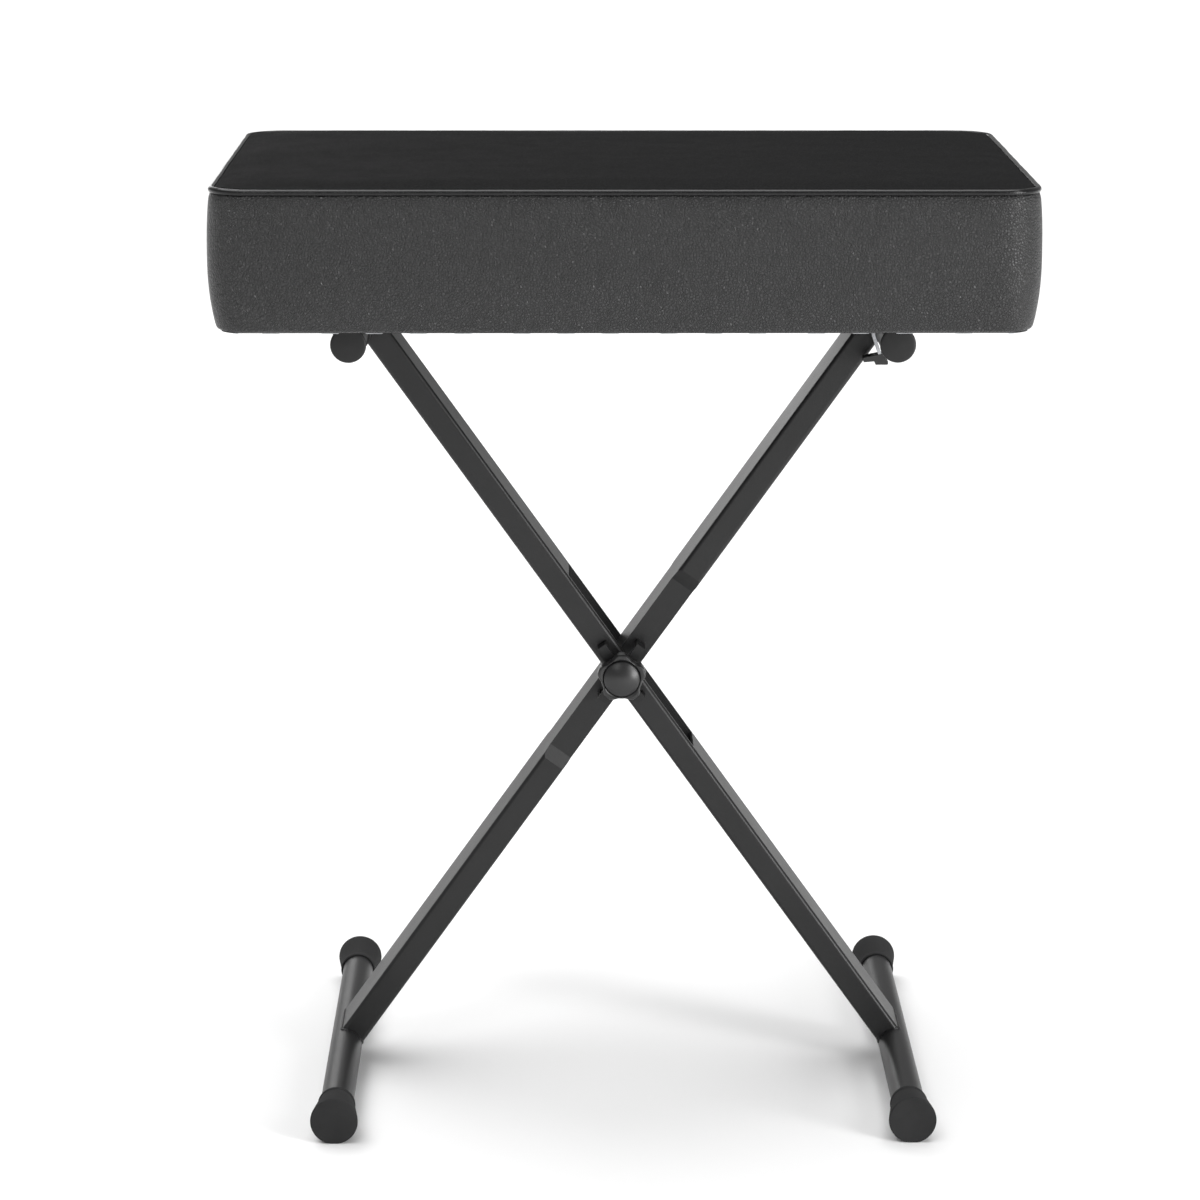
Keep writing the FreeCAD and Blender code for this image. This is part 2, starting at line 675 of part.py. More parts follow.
def board_cavity(height):
    """The space inside the turned-under cover that holds the board and dust cover."""
    face = Part.Face(rounded_outline(size("cover_wrap"), 0))
    return face.extrude(Vector(0, 0, height))


def seat_cushion():
    """Boxed cushion: sides drawn in above and below, a rebate for the piping, a crowned top."""
    thickness = size("seat_thickness")
    piping = 2 * size("piping_radius") + size("fit_gap")
    band = thickness - size("crown_rise") - piping
    sections = [(size("bottom_draw") + size("bottom_round") * 0.6, 0),
                (size("bottom_draw"), size("bottom_round"))]
    for part in (0.25, 0.5, 0.75, 1.0):
        draw = size("bottom_draw") if part < 0.5 else size("top_draw")
        sections.append((draw * (2 * part - 1) ** 2, band * part))
    ledge = size("top_draw") + piping
    sections += [(ledge, band + size("fit_gap")), (ledge, band + piping)]
    crown = min(size("seat_width"), size("seat_depth")) / 2 - ledge
    flat_from = 0.72
    for part in (0.04, 0.2, 0.42, flat_from):
        rise = size("crown_rise") * math.sin(math.pi / 2 * part / flat_from)
        sections.append((ledge + crown * part, band + piping + rise))
    wires = [rounded_outline(inset, height) for inset, height in sections]
    blank = Part.makeLoft(wires, True, True)
    pocket = board_cavity(size("board_thickness") + size("dust_cover_thickness"))
    cushion = doc.addObject("Part::Feature", "cushion_form")
    cushion.Shape = blank.cut(pocket)
    node("seat_cushion", bind(cushion, Placement__Base__z="seat_base"))


def seat_piping():
    """The welt that runs round the top edge in the cushion's rebate."""
    radius = size("piping_radius")
    height = size("seat_thickness") - size("crown_rise") - radius
    path = rounded_outline(size("top_draw") + radius, height)
    piping = doc.addObject("Part::Feature", "piping_form")
    piping.Shape = wound(path.Edges, radius)
    node("seat_piping", bind(piping, Placement__Base__z="seat_base"))


def seat_sheet(name, base, thickness, holes):
    """A flat sheet with the cover's inner outline, such as the board."""
    plain = doc.addObject("Part::Feature", name + "_sheet")
    plain.Shape = board_cavity(size(thickness))
    bind(plain, Placement__Base__z=base)
    node(name, cut(name + "_cut", plain, *holes))


def mirrored_y(face, near, far):
    """The two Y ends of a piece in front of the legs or behind them."""
    return (f"-({far})", f"-({near})") if face == "front" else (near, far)


FACES = (("front", -1), ("rear", 1))


def screw_spots():
    """Plan places of the screws, each with the height of the sheet face that its head seats on."""
    spots = []
    for _, sign in FACES:
        saddle_y = f"{sign} * (saddle_front - saddle_width / 2)"
        for side in (-1, 1):
            offset = f"{side} * (tube_radius + saddle_gap + saddle_wall + flange_length / 2)"
            spots.append((f"-cross_reach + {offset}", saddle_y, "block_height - saddle_wall"))
            spots.append((f"-cross_reach + {side} * cleat_length * 0.38",
                          f"{sign} * (block_front - 9)", "block_height"))
        for share in (0.3, 0.85):
            spots.append((f"cross_reach - rail_inner + {share} * rail_length",
                          f"{sign} * (block_front + block_back) / 2", "block_height"))
    spots.append(("catch_pin_reach - bracket_screw_inset", "-(catch_front - catch_width / 2)",
                  "seat_base - catch_sheet"))
    return spots


def drilled(name, spots, top):
    """Holes for the screws, each from below its head to a given height."""
    return [post(f"{name}_hole_{k}", "screw_radius", (f"{seat} - 1", top), x, y)
            for k, (x, y, seat) in enumerate(spots)]


def rounded_block(name, ends_x, ends_y, ends_z, corner):
    """A flat block with rounded vertical corners."""
    body = body_of(name)
    corners = [(ends_x[a], ends_y[b]) for a, b in ((0, 0), (1, 0), (1, 1), (0, 1))]
    sketch = outline(sketch_on(body, "XY_Plane", name + "_plan"), corners)
    pad = padded(body, name + "_pad", sketch, f"({ends_z[1]}) - ({ends_z[0]})")
    rounded(body, name + "_corners", pad, corner, runs_along(Vector(0, 0, 1)))
    return bind(body, Placement__Base__z=f"(({ends_z[0]}) + ({ends_z[1]})) / 2")


def saddle(face, holes):
    """A sheet strap round the hinge tube with a flange each side under its cleat."""
    name = f"hinge_saddle_{face}"
    near, far = "saddle_front - saddle_width", "saddle_front"
    ends = mirrored_y(face, near, far)
    inner = "tube_radius + saddle_gap"
    outer = f"{inner} + saddle_wall"
    ring = rod(name + "_ring", outer, ends, "-cross_reach", "cross_height")
    upper = block(name + "_walls", (f"-cross_reach - ({outer})", f"-cross_reach + {outer}"), ends,
                  ("cross_height", "block_height"))
    flange = block(name + "_flange", (f"-cross_reach - ({outer}) - flange_length",
                                      f"-cross_reach + {outer} + flange_length"),
                   ends, ("block_height - saddle_wall", "block_height"))
    wide = (f"{ends[0]} - 1", f"{ends[1]} + 1")
    bore = rod(name + "_bore", inner, wide, "-cross_reach", "cross_height")
    mouth = block(name + "_mouth", (f"-cross_reach - ({inner})", f"-cross_reach + {inner}"), wide,
                  ("cross_height", "block_height + 1"))
    node(name, cut(name + "_cut", joined(name + "_blank", ring, upper, flange), bore, mouth, *holes))


def cleat(face, holes):
    ends = mirrored_y(face, "block_back", "block_front")
    name = f"hinge_cleat_{face}"
    blank = rounded_block(name, ("-cross_reach - cleat_length / 2", "-cross_reach + cleat_length / 2"),
                          ends, ("block_height", "seat_base"), "block_corner")
    node(name, cut(name + "_cut", blank, *holes))


def rail(face, holes):
    ends = mirrored_y(face, "block_back", "block_front")
    name = f"rest_rail_{face}"
    blank = rounded_block(name, ("cross_reach - rail_inner", "cross_reach - rail_inner + rail_length"),
                          ends, ("block_height", "seat_base"), "block_corner")
    node(name, cut(name + "_cut", blank, *holes))


def screws(spots):
    """Pan-head screws as one group; each head lies against its strap, block or bracket."""
    pieces = []
    for k, (x, y, seat) in enumerate(spots):
        head = post(f"screw_head_{k}", "screw_head_radius", (f"{seat} - screw_head", seat), x, y)
        shank = post(f"screw_shank_{k}", "screw_radius", (f"{seat} - 0.5", "board_base + screw_bite"),
                     x, y)
        pieces.append(joined(f"screw_{k}", head, shank))
    group = doc.addObject("Part::Compound", "screw_group")
    group.Links = pieces
    node("board_screws", group)


def seat():
    spots = screw_spots()
    top = "board_base + screw_bite"
    seat_cushion()
    seat_piping()
    seat_sheet("dust_cover", "seat_base", "dust_cover_thickness", drilled("dust", spots, top))
    seat_sheet("seat_board", "board_base", "board_thickness", drilled("board", spots, top))
    for number, (face, _) in enumerate(FACES):
        start = 6 * number
        own = spots[start:start + 6]
        cleat(face, drilled(f"cleat_{face}", own[:4], top))
        saddle(face, drilled(f"saddle_{face}", [own[0], own[2]], "block_height + 1"))
        rail(face, drilled(f"rail_{face}", own[4:], top))
    screws(spots)
    return spots


# Catch

def catch_parts(spots):
    """A sheet bracket under the seat, its pin, and the strap that hooks under the rest tube."""
    ears = ("-catch_front", "-catch_front + catch_width")
    left, right = "catch_pin_reach - bracket_left", "catch_pin_reach + bracket_right"
    base = block("bracket_base", (left, right), ears, ("seat_base - catch_sheet", "seat_base"))
    low = "catch_pin_height - catch_pin_radius - bracket_margin"
    front = block("bracket_ear_front", (left, right), (ears[0], f"{ears[0]} + catch_sheet"),
                  (low, "seat_base"))
    back = block("bracket_ear_back", (left, right), (f"{ears[1]} - catch_sheet", ears[1]),
                 (low, "seat_base"))
    hole = rod("bracket_pin_hole", "catch_pin_radius", (f"{ears[0]} - 1", f"{ears[1]} + 1"),
               "catch_pin_reach", "catch_pin_height")
    node("catch_bracket", cut("catch_bracket_cut", joined("bracket_blank", base, front, back), hole,
                              *drilled("bracket", spots[-1:], "seat_base + 1")))
    shank = rod("pin_shank", "catch_pin_radius", ears, "catch_pin_reach", "catch_pin_height")
    head_front = rod("pin_head_front", "1.6 * catch_pin_radius", (f"{ears[0]} - pin_head", ears[0]),
                     "catch_pin_reach", "catch_pin_height")
    head_back = rod("pin_head_back", "1.6 * catch_pin_radius", (ears[1], f"{ears[1]} + pin_head"),
                    "catch_pin_reach", "catch_pin_height")
    node("catch_pin", joined("catch_pin_whole", shank, head_front, head_back))
    middle = "-(catch_front - catch_width / 2)"
    strap_blank("catch_strap", middle)
    grip("catch_grip", middle)


STRAP_TOP = ("catch_pin_reach + strap_top_offset", "catch_pin_height")
STRAP_BEND = ("cross_reach - tube_radius - strap_thickness - strap_clearance",
              "cross_height - strap_bend_drop")
STRAP_FOOT = ("cross_reach - tube_radius + strap_foot_turn",
              "cross_height - tube_radius - strap_foot_drop")
# Outline of the finger bar and its nub, from the strap's foot
GRIP_OUTLINE = [(-9.2, -0.4), (4.2, 2.3), (4.6, -0.2), (2.6, -1.2), (5.2, -2.2), (5.2, -4.4),
                (-2.2, -4.4), (-2.4, -2.4), (-9.0, -3.0)]


def strap_blank(name, middle):
    """The catch's flat strap: a knuckle round the pin, a straight drop and a leaning foot."""
    body = body_of(name)
    thick = "strap_thickness"
    left = [STRAP_TOP, STRAP_BEND, STRAP_FOOT]
    right = [(f"{x} + {thick}", z) for x, z in reversed(left)]
    right[-1] = (f"{STRAP_TOP[0]} + strap_top_width", STRAP_TOP[1])
    sketch = outline(sketch_on(body, "XZ_Plane", name + "_side"), left + right)
    padded(body, name + "_pad", sketch, "strap_width")
    bind(body, Placement__Base__y=middle)
    ends = (f"{middle} - strap_width / 2", f"{middle} + strap_width / 2")
    knuckle = rod(name + "_knuckle", "catch_pin_radius + knuckle_wall", ends, "catch_pin_reach",
                  "catch_pin_height")
    hole = rod(name + "_hole", "catch_pin_radius + running_gap",
               (f"{ends[0]} - 1", f"{ends[1]} + 1"), "catch_pin_reach", "catch_pin_height")
    node(name, cut(name + "_cut", joined(name + "_blank", body, knuckle), hole))


def grip(name, middle):
    """The moulded finger bar that hooks under the rest tube, with a nub below."""
    body = body_of(name)
    foot_x, foot_z = STRAP_FOOT
    sketch = outline(sketch_on(body, "XZ_Plane", name + "_side"),
                     [(f"{foot_x} + {x}", f"{foot_z} + {z}") for x, z in GRIP_OUTLINE])
    pad = padded(body, name + "_pad", sketch, "grip_width")
    rounded(body, name + "_edges", pad, "grip_rounding", runs_along(Vector(0, 1, 0)))
    bind(body, Placement__Base__y=middle)
    node(name, cut(name + "_cut", body, NODES["catch_strap"]))


def check_and_write():
    doc.recompute()
    for thing in doc.Objects:
        if {"Invalid", "Error"} & set(thing.State):
            raise RuntimeError(f"{thing.Name} ({thing.Label}) is {thing.State}")
    os.makedirs("parts", exist_ok=True)
    for name, thing in NODES.items():
        shape = thing.Shape
        if shape.isNull() or not shape.isValid() or not shape.Solids:
            raise RuntimeError(f"{name} has no valid solid")
        shape.exportStep(os.path.join("parts", name + ".step"))
        print(f"{name}: {len(shape.Solids)} solid, {shape.Volume / 1000:.2f} cm3")


fill_sheets()
outer_leg()
inner_leg()
tubes_and_caps()
pivot_parts()
star_knob()
knob_small_parts()
lock_plate()
lock_spring()
catch_parts(seat())
check_and_write()
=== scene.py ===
import functools
import json
import math

import bmesh
import bpy
import numpy as np
from bpy.props import FloatProperty, FloatVectorProperty, IntProperty, PointerProperty
from mathutils import Matrix, Vector, noise


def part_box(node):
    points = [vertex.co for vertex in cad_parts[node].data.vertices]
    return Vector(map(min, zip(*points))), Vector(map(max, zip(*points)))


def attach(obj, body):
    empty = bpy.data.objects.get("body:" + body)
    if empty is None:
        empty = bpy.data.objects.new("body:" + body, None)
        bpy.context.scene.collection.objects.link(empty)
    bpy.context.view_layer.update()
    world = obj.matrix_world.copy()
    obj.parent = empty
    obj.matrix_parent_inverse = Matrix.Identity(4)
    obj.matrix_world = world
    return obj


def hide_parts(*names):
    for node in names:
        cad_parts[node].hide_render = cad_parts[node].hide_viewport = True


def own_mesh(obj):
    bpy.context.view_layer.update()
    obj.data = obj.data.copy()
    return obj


bl_info = {
    "name": "Folding keyboard bench",
    "version": (1, 0, 0),
    "blender": (4, 5, 0),
    "location": "3D View > Sidebar > Bench",
    "description": "Upholstery, painted frame, rubber feet, lock knob and stage of a folding bench",
    "category": "Object",
}

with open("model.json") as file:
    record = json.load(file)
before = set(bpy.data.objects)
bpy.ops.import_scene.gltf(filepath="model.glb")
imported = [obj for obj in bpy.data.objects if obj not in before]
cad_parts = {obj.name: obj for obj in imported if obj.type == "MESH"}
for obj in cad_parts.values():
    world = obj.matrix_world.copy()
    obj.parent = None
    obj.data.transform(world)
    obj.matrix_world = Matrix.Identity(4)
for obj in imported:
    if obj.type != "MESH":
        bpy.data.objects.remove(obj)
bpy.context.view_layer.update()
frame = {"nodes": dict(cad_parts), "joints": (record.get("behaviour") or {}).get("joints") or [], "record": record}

MM = 0.001
JOINTS = {joint["name"]: joint for joint in frame["joints"]}
PIVOT = Vector(JOINTS["leg_fold"]["pos_m"])
SEAT_LOW, SEAT_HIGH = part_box("seat_cushion")
LEG_ANGLE = math.radians(54.6)
QUARTERS = ((1, 1), (-1, 1), (-1, -1), (1, -1))
CAMERA_PLACE = (-0.0324, -2.3166, 0.8161)
CAMERA_PITCH, CAMERA_YAW, CAMERA_ROLL = (math.radians(part) for part in (12.93, 0.494, 0.052))


# Settings

def length(name, value, note):
    return FloatProperty(name=name, description=note, default=value, unit="LENGTH", precision=5)


def number(name, value, note, unit="NONE"):
    return FloatProperty(name=name, description=note, default=value, unit=unit)


def colour(name, value, note):
    return FloatVectorProperty(name=name, description=note, default=value, size=3,
                               subtype="COLOR", min=0.0, max=1.0)


class BenchSeatSettings(bpy.types.PropertyGroup):
    corner: length("Corner", 24 * MM, "Plan radius of the cushion's corners")
    bottom_draw: length("Bottom draw", 3.6 * MM, "How far the sides draw in at the bottom")
    top_draw: length("Top draw", 1.2 * MM, "How far the sides draw in under the piping")
    crown: length("Crown", 0.3 * MM, "Rise of the top panel before it is filled")
    piping: length("Piping radius", 1.8 * MM, "Radius of the piping")
    wrap: length("Cover wrap", 9 * MM, "Width of the cover turned under the board")
    pucker: length("Pucker depth", 0.4 * MM, "Depth of the gathers below the piping")
    mesh: length("Mesh", 8 * MM, "Spacing of the points before subdivision")
    overlap: length("Lining overlap", 1.5 * MM, "How far the lining laps over the cover's edge")
    girth: length("Girth", 1.52, "Length round the piping, along which its gathers are spaced")
    grain: number("Grain", 620.0, "Cells of the leather grain per metre")
    # The top panel's colour is set darker than the band's; that difference is painted shade on the top of the
    # cushion.
    cover: colour("Cover", (0.0285, 0.0285, 0.0289), "Colour of the side band")
    panel: colour("Panel", (0.0125, 0.0125, 0.0128), "Colour of the top panel")
    welt: colour("Welt", (0.007, 0.007, 0.0072), "Colour of the piping")
    lining: colour("Lining", (0.012, 0.012, 0.013), "Colour of the dust cover")
    staple_pitch: length("Staple pitch", 27 * MM, "Spacing of the staples")


class BenchFrameSettings(bpy.types.PropertyGroup):
    paint: colour("Paint", (0.0125, 0.0125, 0.0127), "Colour of the painted tubes")
    rubber: colour("Rubber", (0.03, 0.03, 0.0304), "Colour of the foot caps")
    plastic: colour("Plastic", (0.0155, 0.0155, 0.0157), "Colour of the knob")
    plug: colour("Plug", (0.0065, 0.0065, 0.0066), "Colour of the tube caps and the lock plate")
    nylon: colour("Nylon", (0.024, 0.024, 0.025), "Colour of the cleats and rails")
    zinc: colour("Zinc", (0.56, 0.57, 0.59), "Colour of the plated hardware")
    bead: length("Weld bead", 0.8 * MM, "Radius of the weld beads")
    ripple: length("Weld ripple", 2.0 * MM, "Spacing of the weld ripples")
    tube: length("Tube radius", 9.5 * MM, "Radius of the foot and cross tubes")
    leg_width: length("Leg width", 15 * MM, "Width of the leg tubes, seen from the front")
    leg_depth: length("Leg depth", 40 * MM, "Depth of the leg tubes from front to back")
    leg_corner: length("Leg corner", 2.4 * MM, "Radius of the weld beads round the legs' corners")
    cap_edge: length("Cap edge", 1.1 * MM, "Rounding of the tube caps")
    foot_edge: length("Foot edge", 1.3 * MM, "Rounding of the rubber feet")


class BenchKnobSettings(bpy.types.PropertyGroup):
    lobes: IntProperty(name="Lobes", description="Number of finger lobes", default=5, min=3)
    core: length("Core", 12.1 * MM, "Radius between the lobes")
    tip: length("Tip", 14.4 * MM, "Radius over the lobes")
    hub: length("Hub", 7 * MM, "Radius of the hub behind the star")
    hub_depth: length("Hub depth", 4.4 * MM, "Length of the hub")
    edge: length("Edge", 1.1 * MM, "Rounding of the rims")
    coil: length("Coil", 4.8 * MM, "Mean radius of the spring")
    wire: length("Wire", 0.6 * MM, "Radius of the spring's wire")
    turns: IntProperty(name="Turns", description="Coils of the spring", default=4, min=2)
    pull: length("Pull", 7 * MM, "Travel of the knob, by which the spring shortens")


class BenchStageSettings(bpy.types.PropertyGroup):
    floor: colour("Floor", (0.84, 0.84, 0.84), "Colour of the floor")
    sky: number("Sky light", 3.4, "Strength of the wide soft light from above")
    key: number("Key light", 17.0, "Power of the soft light at the right front", "POWER")
    fill: number("Fill light", 9.0, "Power of the soft light at the left front", "POWER")
    side: number("Side light", 42.0, "Power of the low light on the right", "POWER")
    back: number("Back light", 6.0, "Power of the low light behind", "POWER")
    world: number("World", 0.3, "Strength of the surrounding light")


# Shader expressions

class Wire:
    """A shader socket or number that can be used in Python arithmetic."""

    def __init__(self, finish, link):
        self.finish = finish
        self.link = link

    def maths(self, operation, *values):
        return self.finish.make("Math", {"operation": operation}, dict(enumerate(values)))

    def __add__(self, other):
        return self.maths("ADD", self, other)

    def __radd__(self, other):
        return self.maths("ADD", other, self)

    def __sub__(self, other):
        return self.maths("SUBTRACT", self, other)

    def __rsub__(self, other):
        return self.maths("SUBTRACT", other, self)

    def __mul__(self, other):
        return self.maths("MULTIPLY", self, other)

    def __rmul__(self, other):
        return self.maths("MULTIPLY", other, self)

    def between(self, low, high):
        """0 below low, 1 above high, smooth between."""
        return self.finish.make("MapRange", {"interpolation_type": "SMOOTHSTEP"},
                                {0: self, 1: low, 2: high, 3: 0.0, 4: 1.0})


class Finish:
    """A procedural material built by expressions; its shader is the Principled one."""

    def __init__(self, name, **constants):
        self.material = bpy.data.materials.new(name)
        self.material.use_nodes = True
        self.tree = self.material.node_tree
        self.shader = self.tree.nodes["Principled BSDF"]
        for socket, value in constants.items():
            self.shader.inputs[socket.replace("_", " ")].default_value = value

    def make(self, kind, settings=None, values=None, output=0):
        """Adds a node: its settings first, then its socket values or links."""
        node = self.tree.nodes.new("ShaderNode" + kind)
        for name, value in (settings or {}).items():
            setattr(node, name, value)
        for socket, value in (values or {}).items():
            self.feed(node.inputs[socket], value)
        return Wire(self, node.outputs[output])

    def feed(self, socket, value):
        if isinstance(value, Wire):
            self.tree.links.new(value.link, socket)
        elif socket.type == "RGBA":
            socket.default_value = (*value, 1.0)
        else:
            socket.default_value = value

    def place(self, stretch=None):
        """The piece's own coordinates in metres, stretched if asked."""
        at = self.make("TexCoord", output="Object")
        if stretch is None:
            return at
        return self.make("Mapping", None, {"Vector": at, "Scale": stretch})

    def part(self, at, axis):
        """One coordinate of a place: 0 for X, 1 for Y, 2 for Z."""
        return self.make("SeparateXYZ", None, {"Vector": at}, axis)

    def cloud(self, scale, detail=2.0, at=None, rough=0.5):
        return self.make("TexNoise", None, {"Vector": at or self.place(), "Scale": scale,
                                            "Detail": detail, "Roughness": rough})

    def cells(self, scale, feature, at):
        return self.make("TexVoronoi", {"feature": feature}, {"Vector": at, "Scale": scale},
                         "Distance")

    def blend(self, share, first, second):
        return self.make("Mix", {"data_type": "RGBA"}, {0: share, 6: first, 7: second}, 2)

    def bump(self, height, distance, strength=1.0, below=None):
        values = {"Height": height, "Distance": distance, "Strength": strength}
        if below is not None:
            values["Normal"] = below
        return self.make("Bump", None, values)

    def finish(self, **sockets):
        for name, value in sockets.items():
            self.feed(self.shader.inputs[name.replace("_", " ")], value)
        return self.material


def shade(rgb, factor):
    """A colour made darker or lighter."""
    return tuple(min(1.0, part * factor) for part in rgb)


# Materials

def leather(name, rgb, grain, depth, rough, gloss, seam=None):
    """Grained vinyl leather: warped cells, creases and pores, gathered under a seam's height; the creases carry
    painted shade.
    """
    look = Finish(name, Specular_IOR_Level=gloss)
    at = look.place()
    wander = look.cloud(55.0)
    drift = look.make("TexNoise", None, {"Vector": at, "Scale": 420.0, "Detail": 1.0}, 1)
    drift = look.make("VectorMath", {"operation": "SCALE"}, {0: drift, "Scale": 1.1 * MM})
    warped = look.make("VectorMath", {"operation": "ADD"}, {0: at, 1: drift})
    crease = look.cells(grain, "DISTANCE_TO_EDGE", warped).between(0.02, 0.24)
    dome = 1.0 - look.cells(grain, "F1", warped)
    pore = look.cloud(grain * 4.2)
    height = crease * 0.62 + dome * 0.28 + pore * 0.14
    if seam is not None:
        folds = look.cloud(1.0, 2.0, look.place((330.0, 330.0, 45.0)))
        near = look.part(at, 2).between(seam - 14 * MM, seam - 1 * MM)
        height = height + folds * near * 0.55
    broad = look.cloud(9.0, 3.0)
    tone = (wander * 0.5 + broad * 0.5).between(0.32, 0.68)
    base = look.blend(tone, shade(rgb, 0.94), shade(rgb, 1.06))
    # Painted shade: the creases between the grain cells are darkened towards 0.4 of the colour.
    base = look.blend((1.0 - crease) * 0.6, base, shade(rgb, 0.4))
    return look.finish(Base_Color=base, Roughness=rough + tone * 0.08 - crease * 0.06,
                       Normal=look.bump(height, depth, 0.9))


def painted(name, rgb):
    """Powder coat on steel: orange peel, faint mottling and paler rubbed specks."""
    look = Finish(name, Specular_IOR_Level=0.36)
    peel = look.cloud(900.0)
    grit = look.cloud(3200.0, 1.0)
    broad = look.cloud(24.0, 4.0)
    scuff = look.cloud(130.0, 6.0, rough=0.72).between(0.66, 0.80)
    base = look.blend(broad.between(0.3, 0.7), shade(rgb, 0.9), shade(rgb, 1.12))
    base = look.blend(scuff * 0.35, base, shade(rgb, 2.2))
    rough = 0.36 + broad * 0.08 + scuff * 0.12
    return look.finish(Base_Color=base, Roughness=rough,
                       Normal=look.bump(peel * 0.7 + grit * 0.3, 0.12 * MM, 0.6))


def moulded(name, rgb, rough, gloss, grit_scale=2600.0, depth=0.06 * MM):
    """Moulded rubber or plastic with a fine spark-eroded skin."""
    look = Finish(name, Specular_IOR_Level=gloss)
    grit = look.cloud(grit_scale, 3.0)
    broad = look.cloud(40.0, 3.0)
    dust = look.cloud(210.0, 5.0, rough=0.7).between(0.62, 0.82)
    base = look.blend(broad.between(0.3, 0.7), shade(rgb, 0.88), shade(rgb, 1.14))
    base = look.blend(dust * 0.3, base, shade(rgb, 1.9))
    return look.finish(Base_Color=base, Roughness=rough + broad * 0.08 + dust * 0.1,
                       Normal=look.bump(grit, depth, 0.7))


def welt_vinyl(name, rgb):
    """Glossy vinyl over the piping cord, drawn into small gathers along its length, with painted highlights on
    their crests.
    """
    look = Finish(name, Specular_IOR_Level=0.3)
    along = look.make("UVMap", {"uv_map": "along"})
    along = look.make("Mapping", None, {"Vector": along, "Scale": (220.0, 3.0, 1.0)})
    gathers = look.cloud(1.0, 2.0, along)
    fine = look.cloud(1500.0)
    # Painted highlight: the raised crests of the gathers are lightened up to 1.4 times the colour.
    base = look.blend(gathers.between(0.35, 0.7), rgb, shade(rgb, 1.4))
    return look.finish(Base_Color=base, Roughness=0.14 + gathers * 0.12,
                       Normal=look.bump(gathers * 0.8 + fine * 0.2, 0.22 * MM, 0.55))


def woven(name, rgb):
    """Black spun-bonded lining: pressed points in a diamond grid over felted fibre, with painted shade in the
    pressed points.
    """
    look = Finish(name, Specular_IOR_Level=0.2, Sheen_Weight=0.15)
    east, north = (look.part(look.place(), axis) for axis in (0, 1))
    pitch = 2100.0
    rows, columns = (way.maths("SINE", way * pitch) for way in (east + north, east - north))
    press = (rows * columns).between(0.25, 0.75)
    fibre = look.cloud(1600.0, 4.0, rough=0.8)
    base = look.blend(fibre, shade(rgb, 0.7), shade(rgb, 1.7))
    # Painted shade: the pressed points, which the bump dents, are darkened towards half the colour.
    return look.finish(Base_Color=look.blend(press * 0.5, base, shade(rgb, 0.5)),
                       Roughness=0.86 + fibre * 0.08,
                       Normal=look.bump(fibre * 0.4 - press * 0.6, 0.12 * MM, 0.8))


def plated(name, rgb):
    """Bright zinc plate with turning marks and a dull bloom."""
    look = Finish(name)
    lines = look.cloud(1.0, 3.0, look.place((400.0, 5200.0, 400.0)))
    bloom = look.cloud(160.0, 5.0, rough=0.7)
    base = look.blend(bloom.between(0.4, 0.75), rgb, shade(rgb, 0.62))
    return look.finish(Base_Color=base, Metallic=1.0 - bloom.between(0.6, 0.9) * 0.25,
                       Roughness=0.28 + bloom * 0.22 + lines * 0.08,
                       Normal=look.bump(lines, 0.04 * MM, 0.5))


def ply(name):
    """Birch plywood: long grain on the faces and dark glue lines through the edge."""
    look = Finish(name, Specular_IOR_Level=0.25)
    grain = look.cloud(1.0, 5.0, look.place((6.0, 190.0, 190.0)), 0.6)
    pale, dark = (0.60, 0.44, 0.27), (0.36, 0.23, 0.12)
    base = look.blend(grain.between(0.35, 0.7), pale, dark)
    return look.finish(Base_Color=base, Roughness=0.62 + grain * 0.15,
                       Normal=look.bump(grain, 0.1 * MM, 0.4))


@functools.cache
def library(name):
    """One of the bench's materials, made when it is first asked for."""
    seat, steel = bpy.context.scene.bench_seat, bpy.context.scene.bench_frame
    seam, grain = SEAT_HIGH.z - seat.crown - 2 * seat.piping, seat.grain
    makers = {
        "band_leather": lambda: leather(name, seat.cover, grain, 0.8 * MM, 0.36, 0.4, seam),
        # The panel leather is the band's leather in a darker colour: painted shade on the top.
        "panel_leather": lambda: leather(name, seat.panel, grain, 0.2 * MM, 0.78, 0.03),
        "welt_vinyl": lambda: welt_vinyl(name, seat.welt),
        "lining_felt": lambda: woven(name, seat.lining),
        "frame_paint": lambda: painted(name, steel.paint),
        "foot_rubber": lambda: moulded(name, steel.rubber, 0.72, 0.04, 1900.0, 0.1 * MM),
        "black_plastic": lambda: moulded(name, steel.plastic, 0.3, 0.5),
        "plug_plastic": lambda: moulded(name, steel.plug, 0.4, 0.4),
        "grey_nylon": lambda: moulded(name, steel.nylon, 0.44, 0.45),
        "zinc_plate": lambda: plated(name, steel.zinc),
        "plywood": lambda: ply(name),
    }
    return makers[name]()


def dress(node, material):
    """Gives a CAD node its finish."""
    piece = frame["nodes"][node]
    for place in piece.material_slots:
        place.material = library(material)


# Mesh helpers

def add(name, data):
    """A new object in the scene."""
    thing = bpy.data.objects.new(name, data)
    bpy.context.scene.collection.objects.link(thing)
    return thing


def keep(mesh, name, material, body, replaced=()):
    """Wraps a mesh as a piece that rides on a body and stands for CAD nodes."""
    piece = add(name, mesh)
    for one in ([material] if isinstance(material, str) else material):
        mesh.materials.append(library(one))
    if replaced:
        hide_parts(*replaced)
    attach(piece, body)
    return piece


def circle(sides):
    """Cosines and sines of even steps round a circle."""
    return [(math.cos(math.tau * k / sides), math.sin(math.tau * k / sides)) for k in range(sides)]


def centre_line(node):
    """The point at Y 0 on the axis of a tube that lies along Y."""
    low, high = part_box(node)
    return Vector(((low.x + high.x) / 2, 0, (low.z + high.z) / 2))


def fill_across(faces, first, count, middle, below):
    """Faces between the front and back half of a ring; middle is a point on its axis."""
    for k in range(count // 2):
        ahead = [first + (middle + k + step) % count for step in (0, 1)]
        behind = [first + (middle - k - step) % count for step in (1, 0)]
        corners = list(dict.fromkeys(ahead + behind))
        faces.append(tuple(reversed(corners) if below else corners))


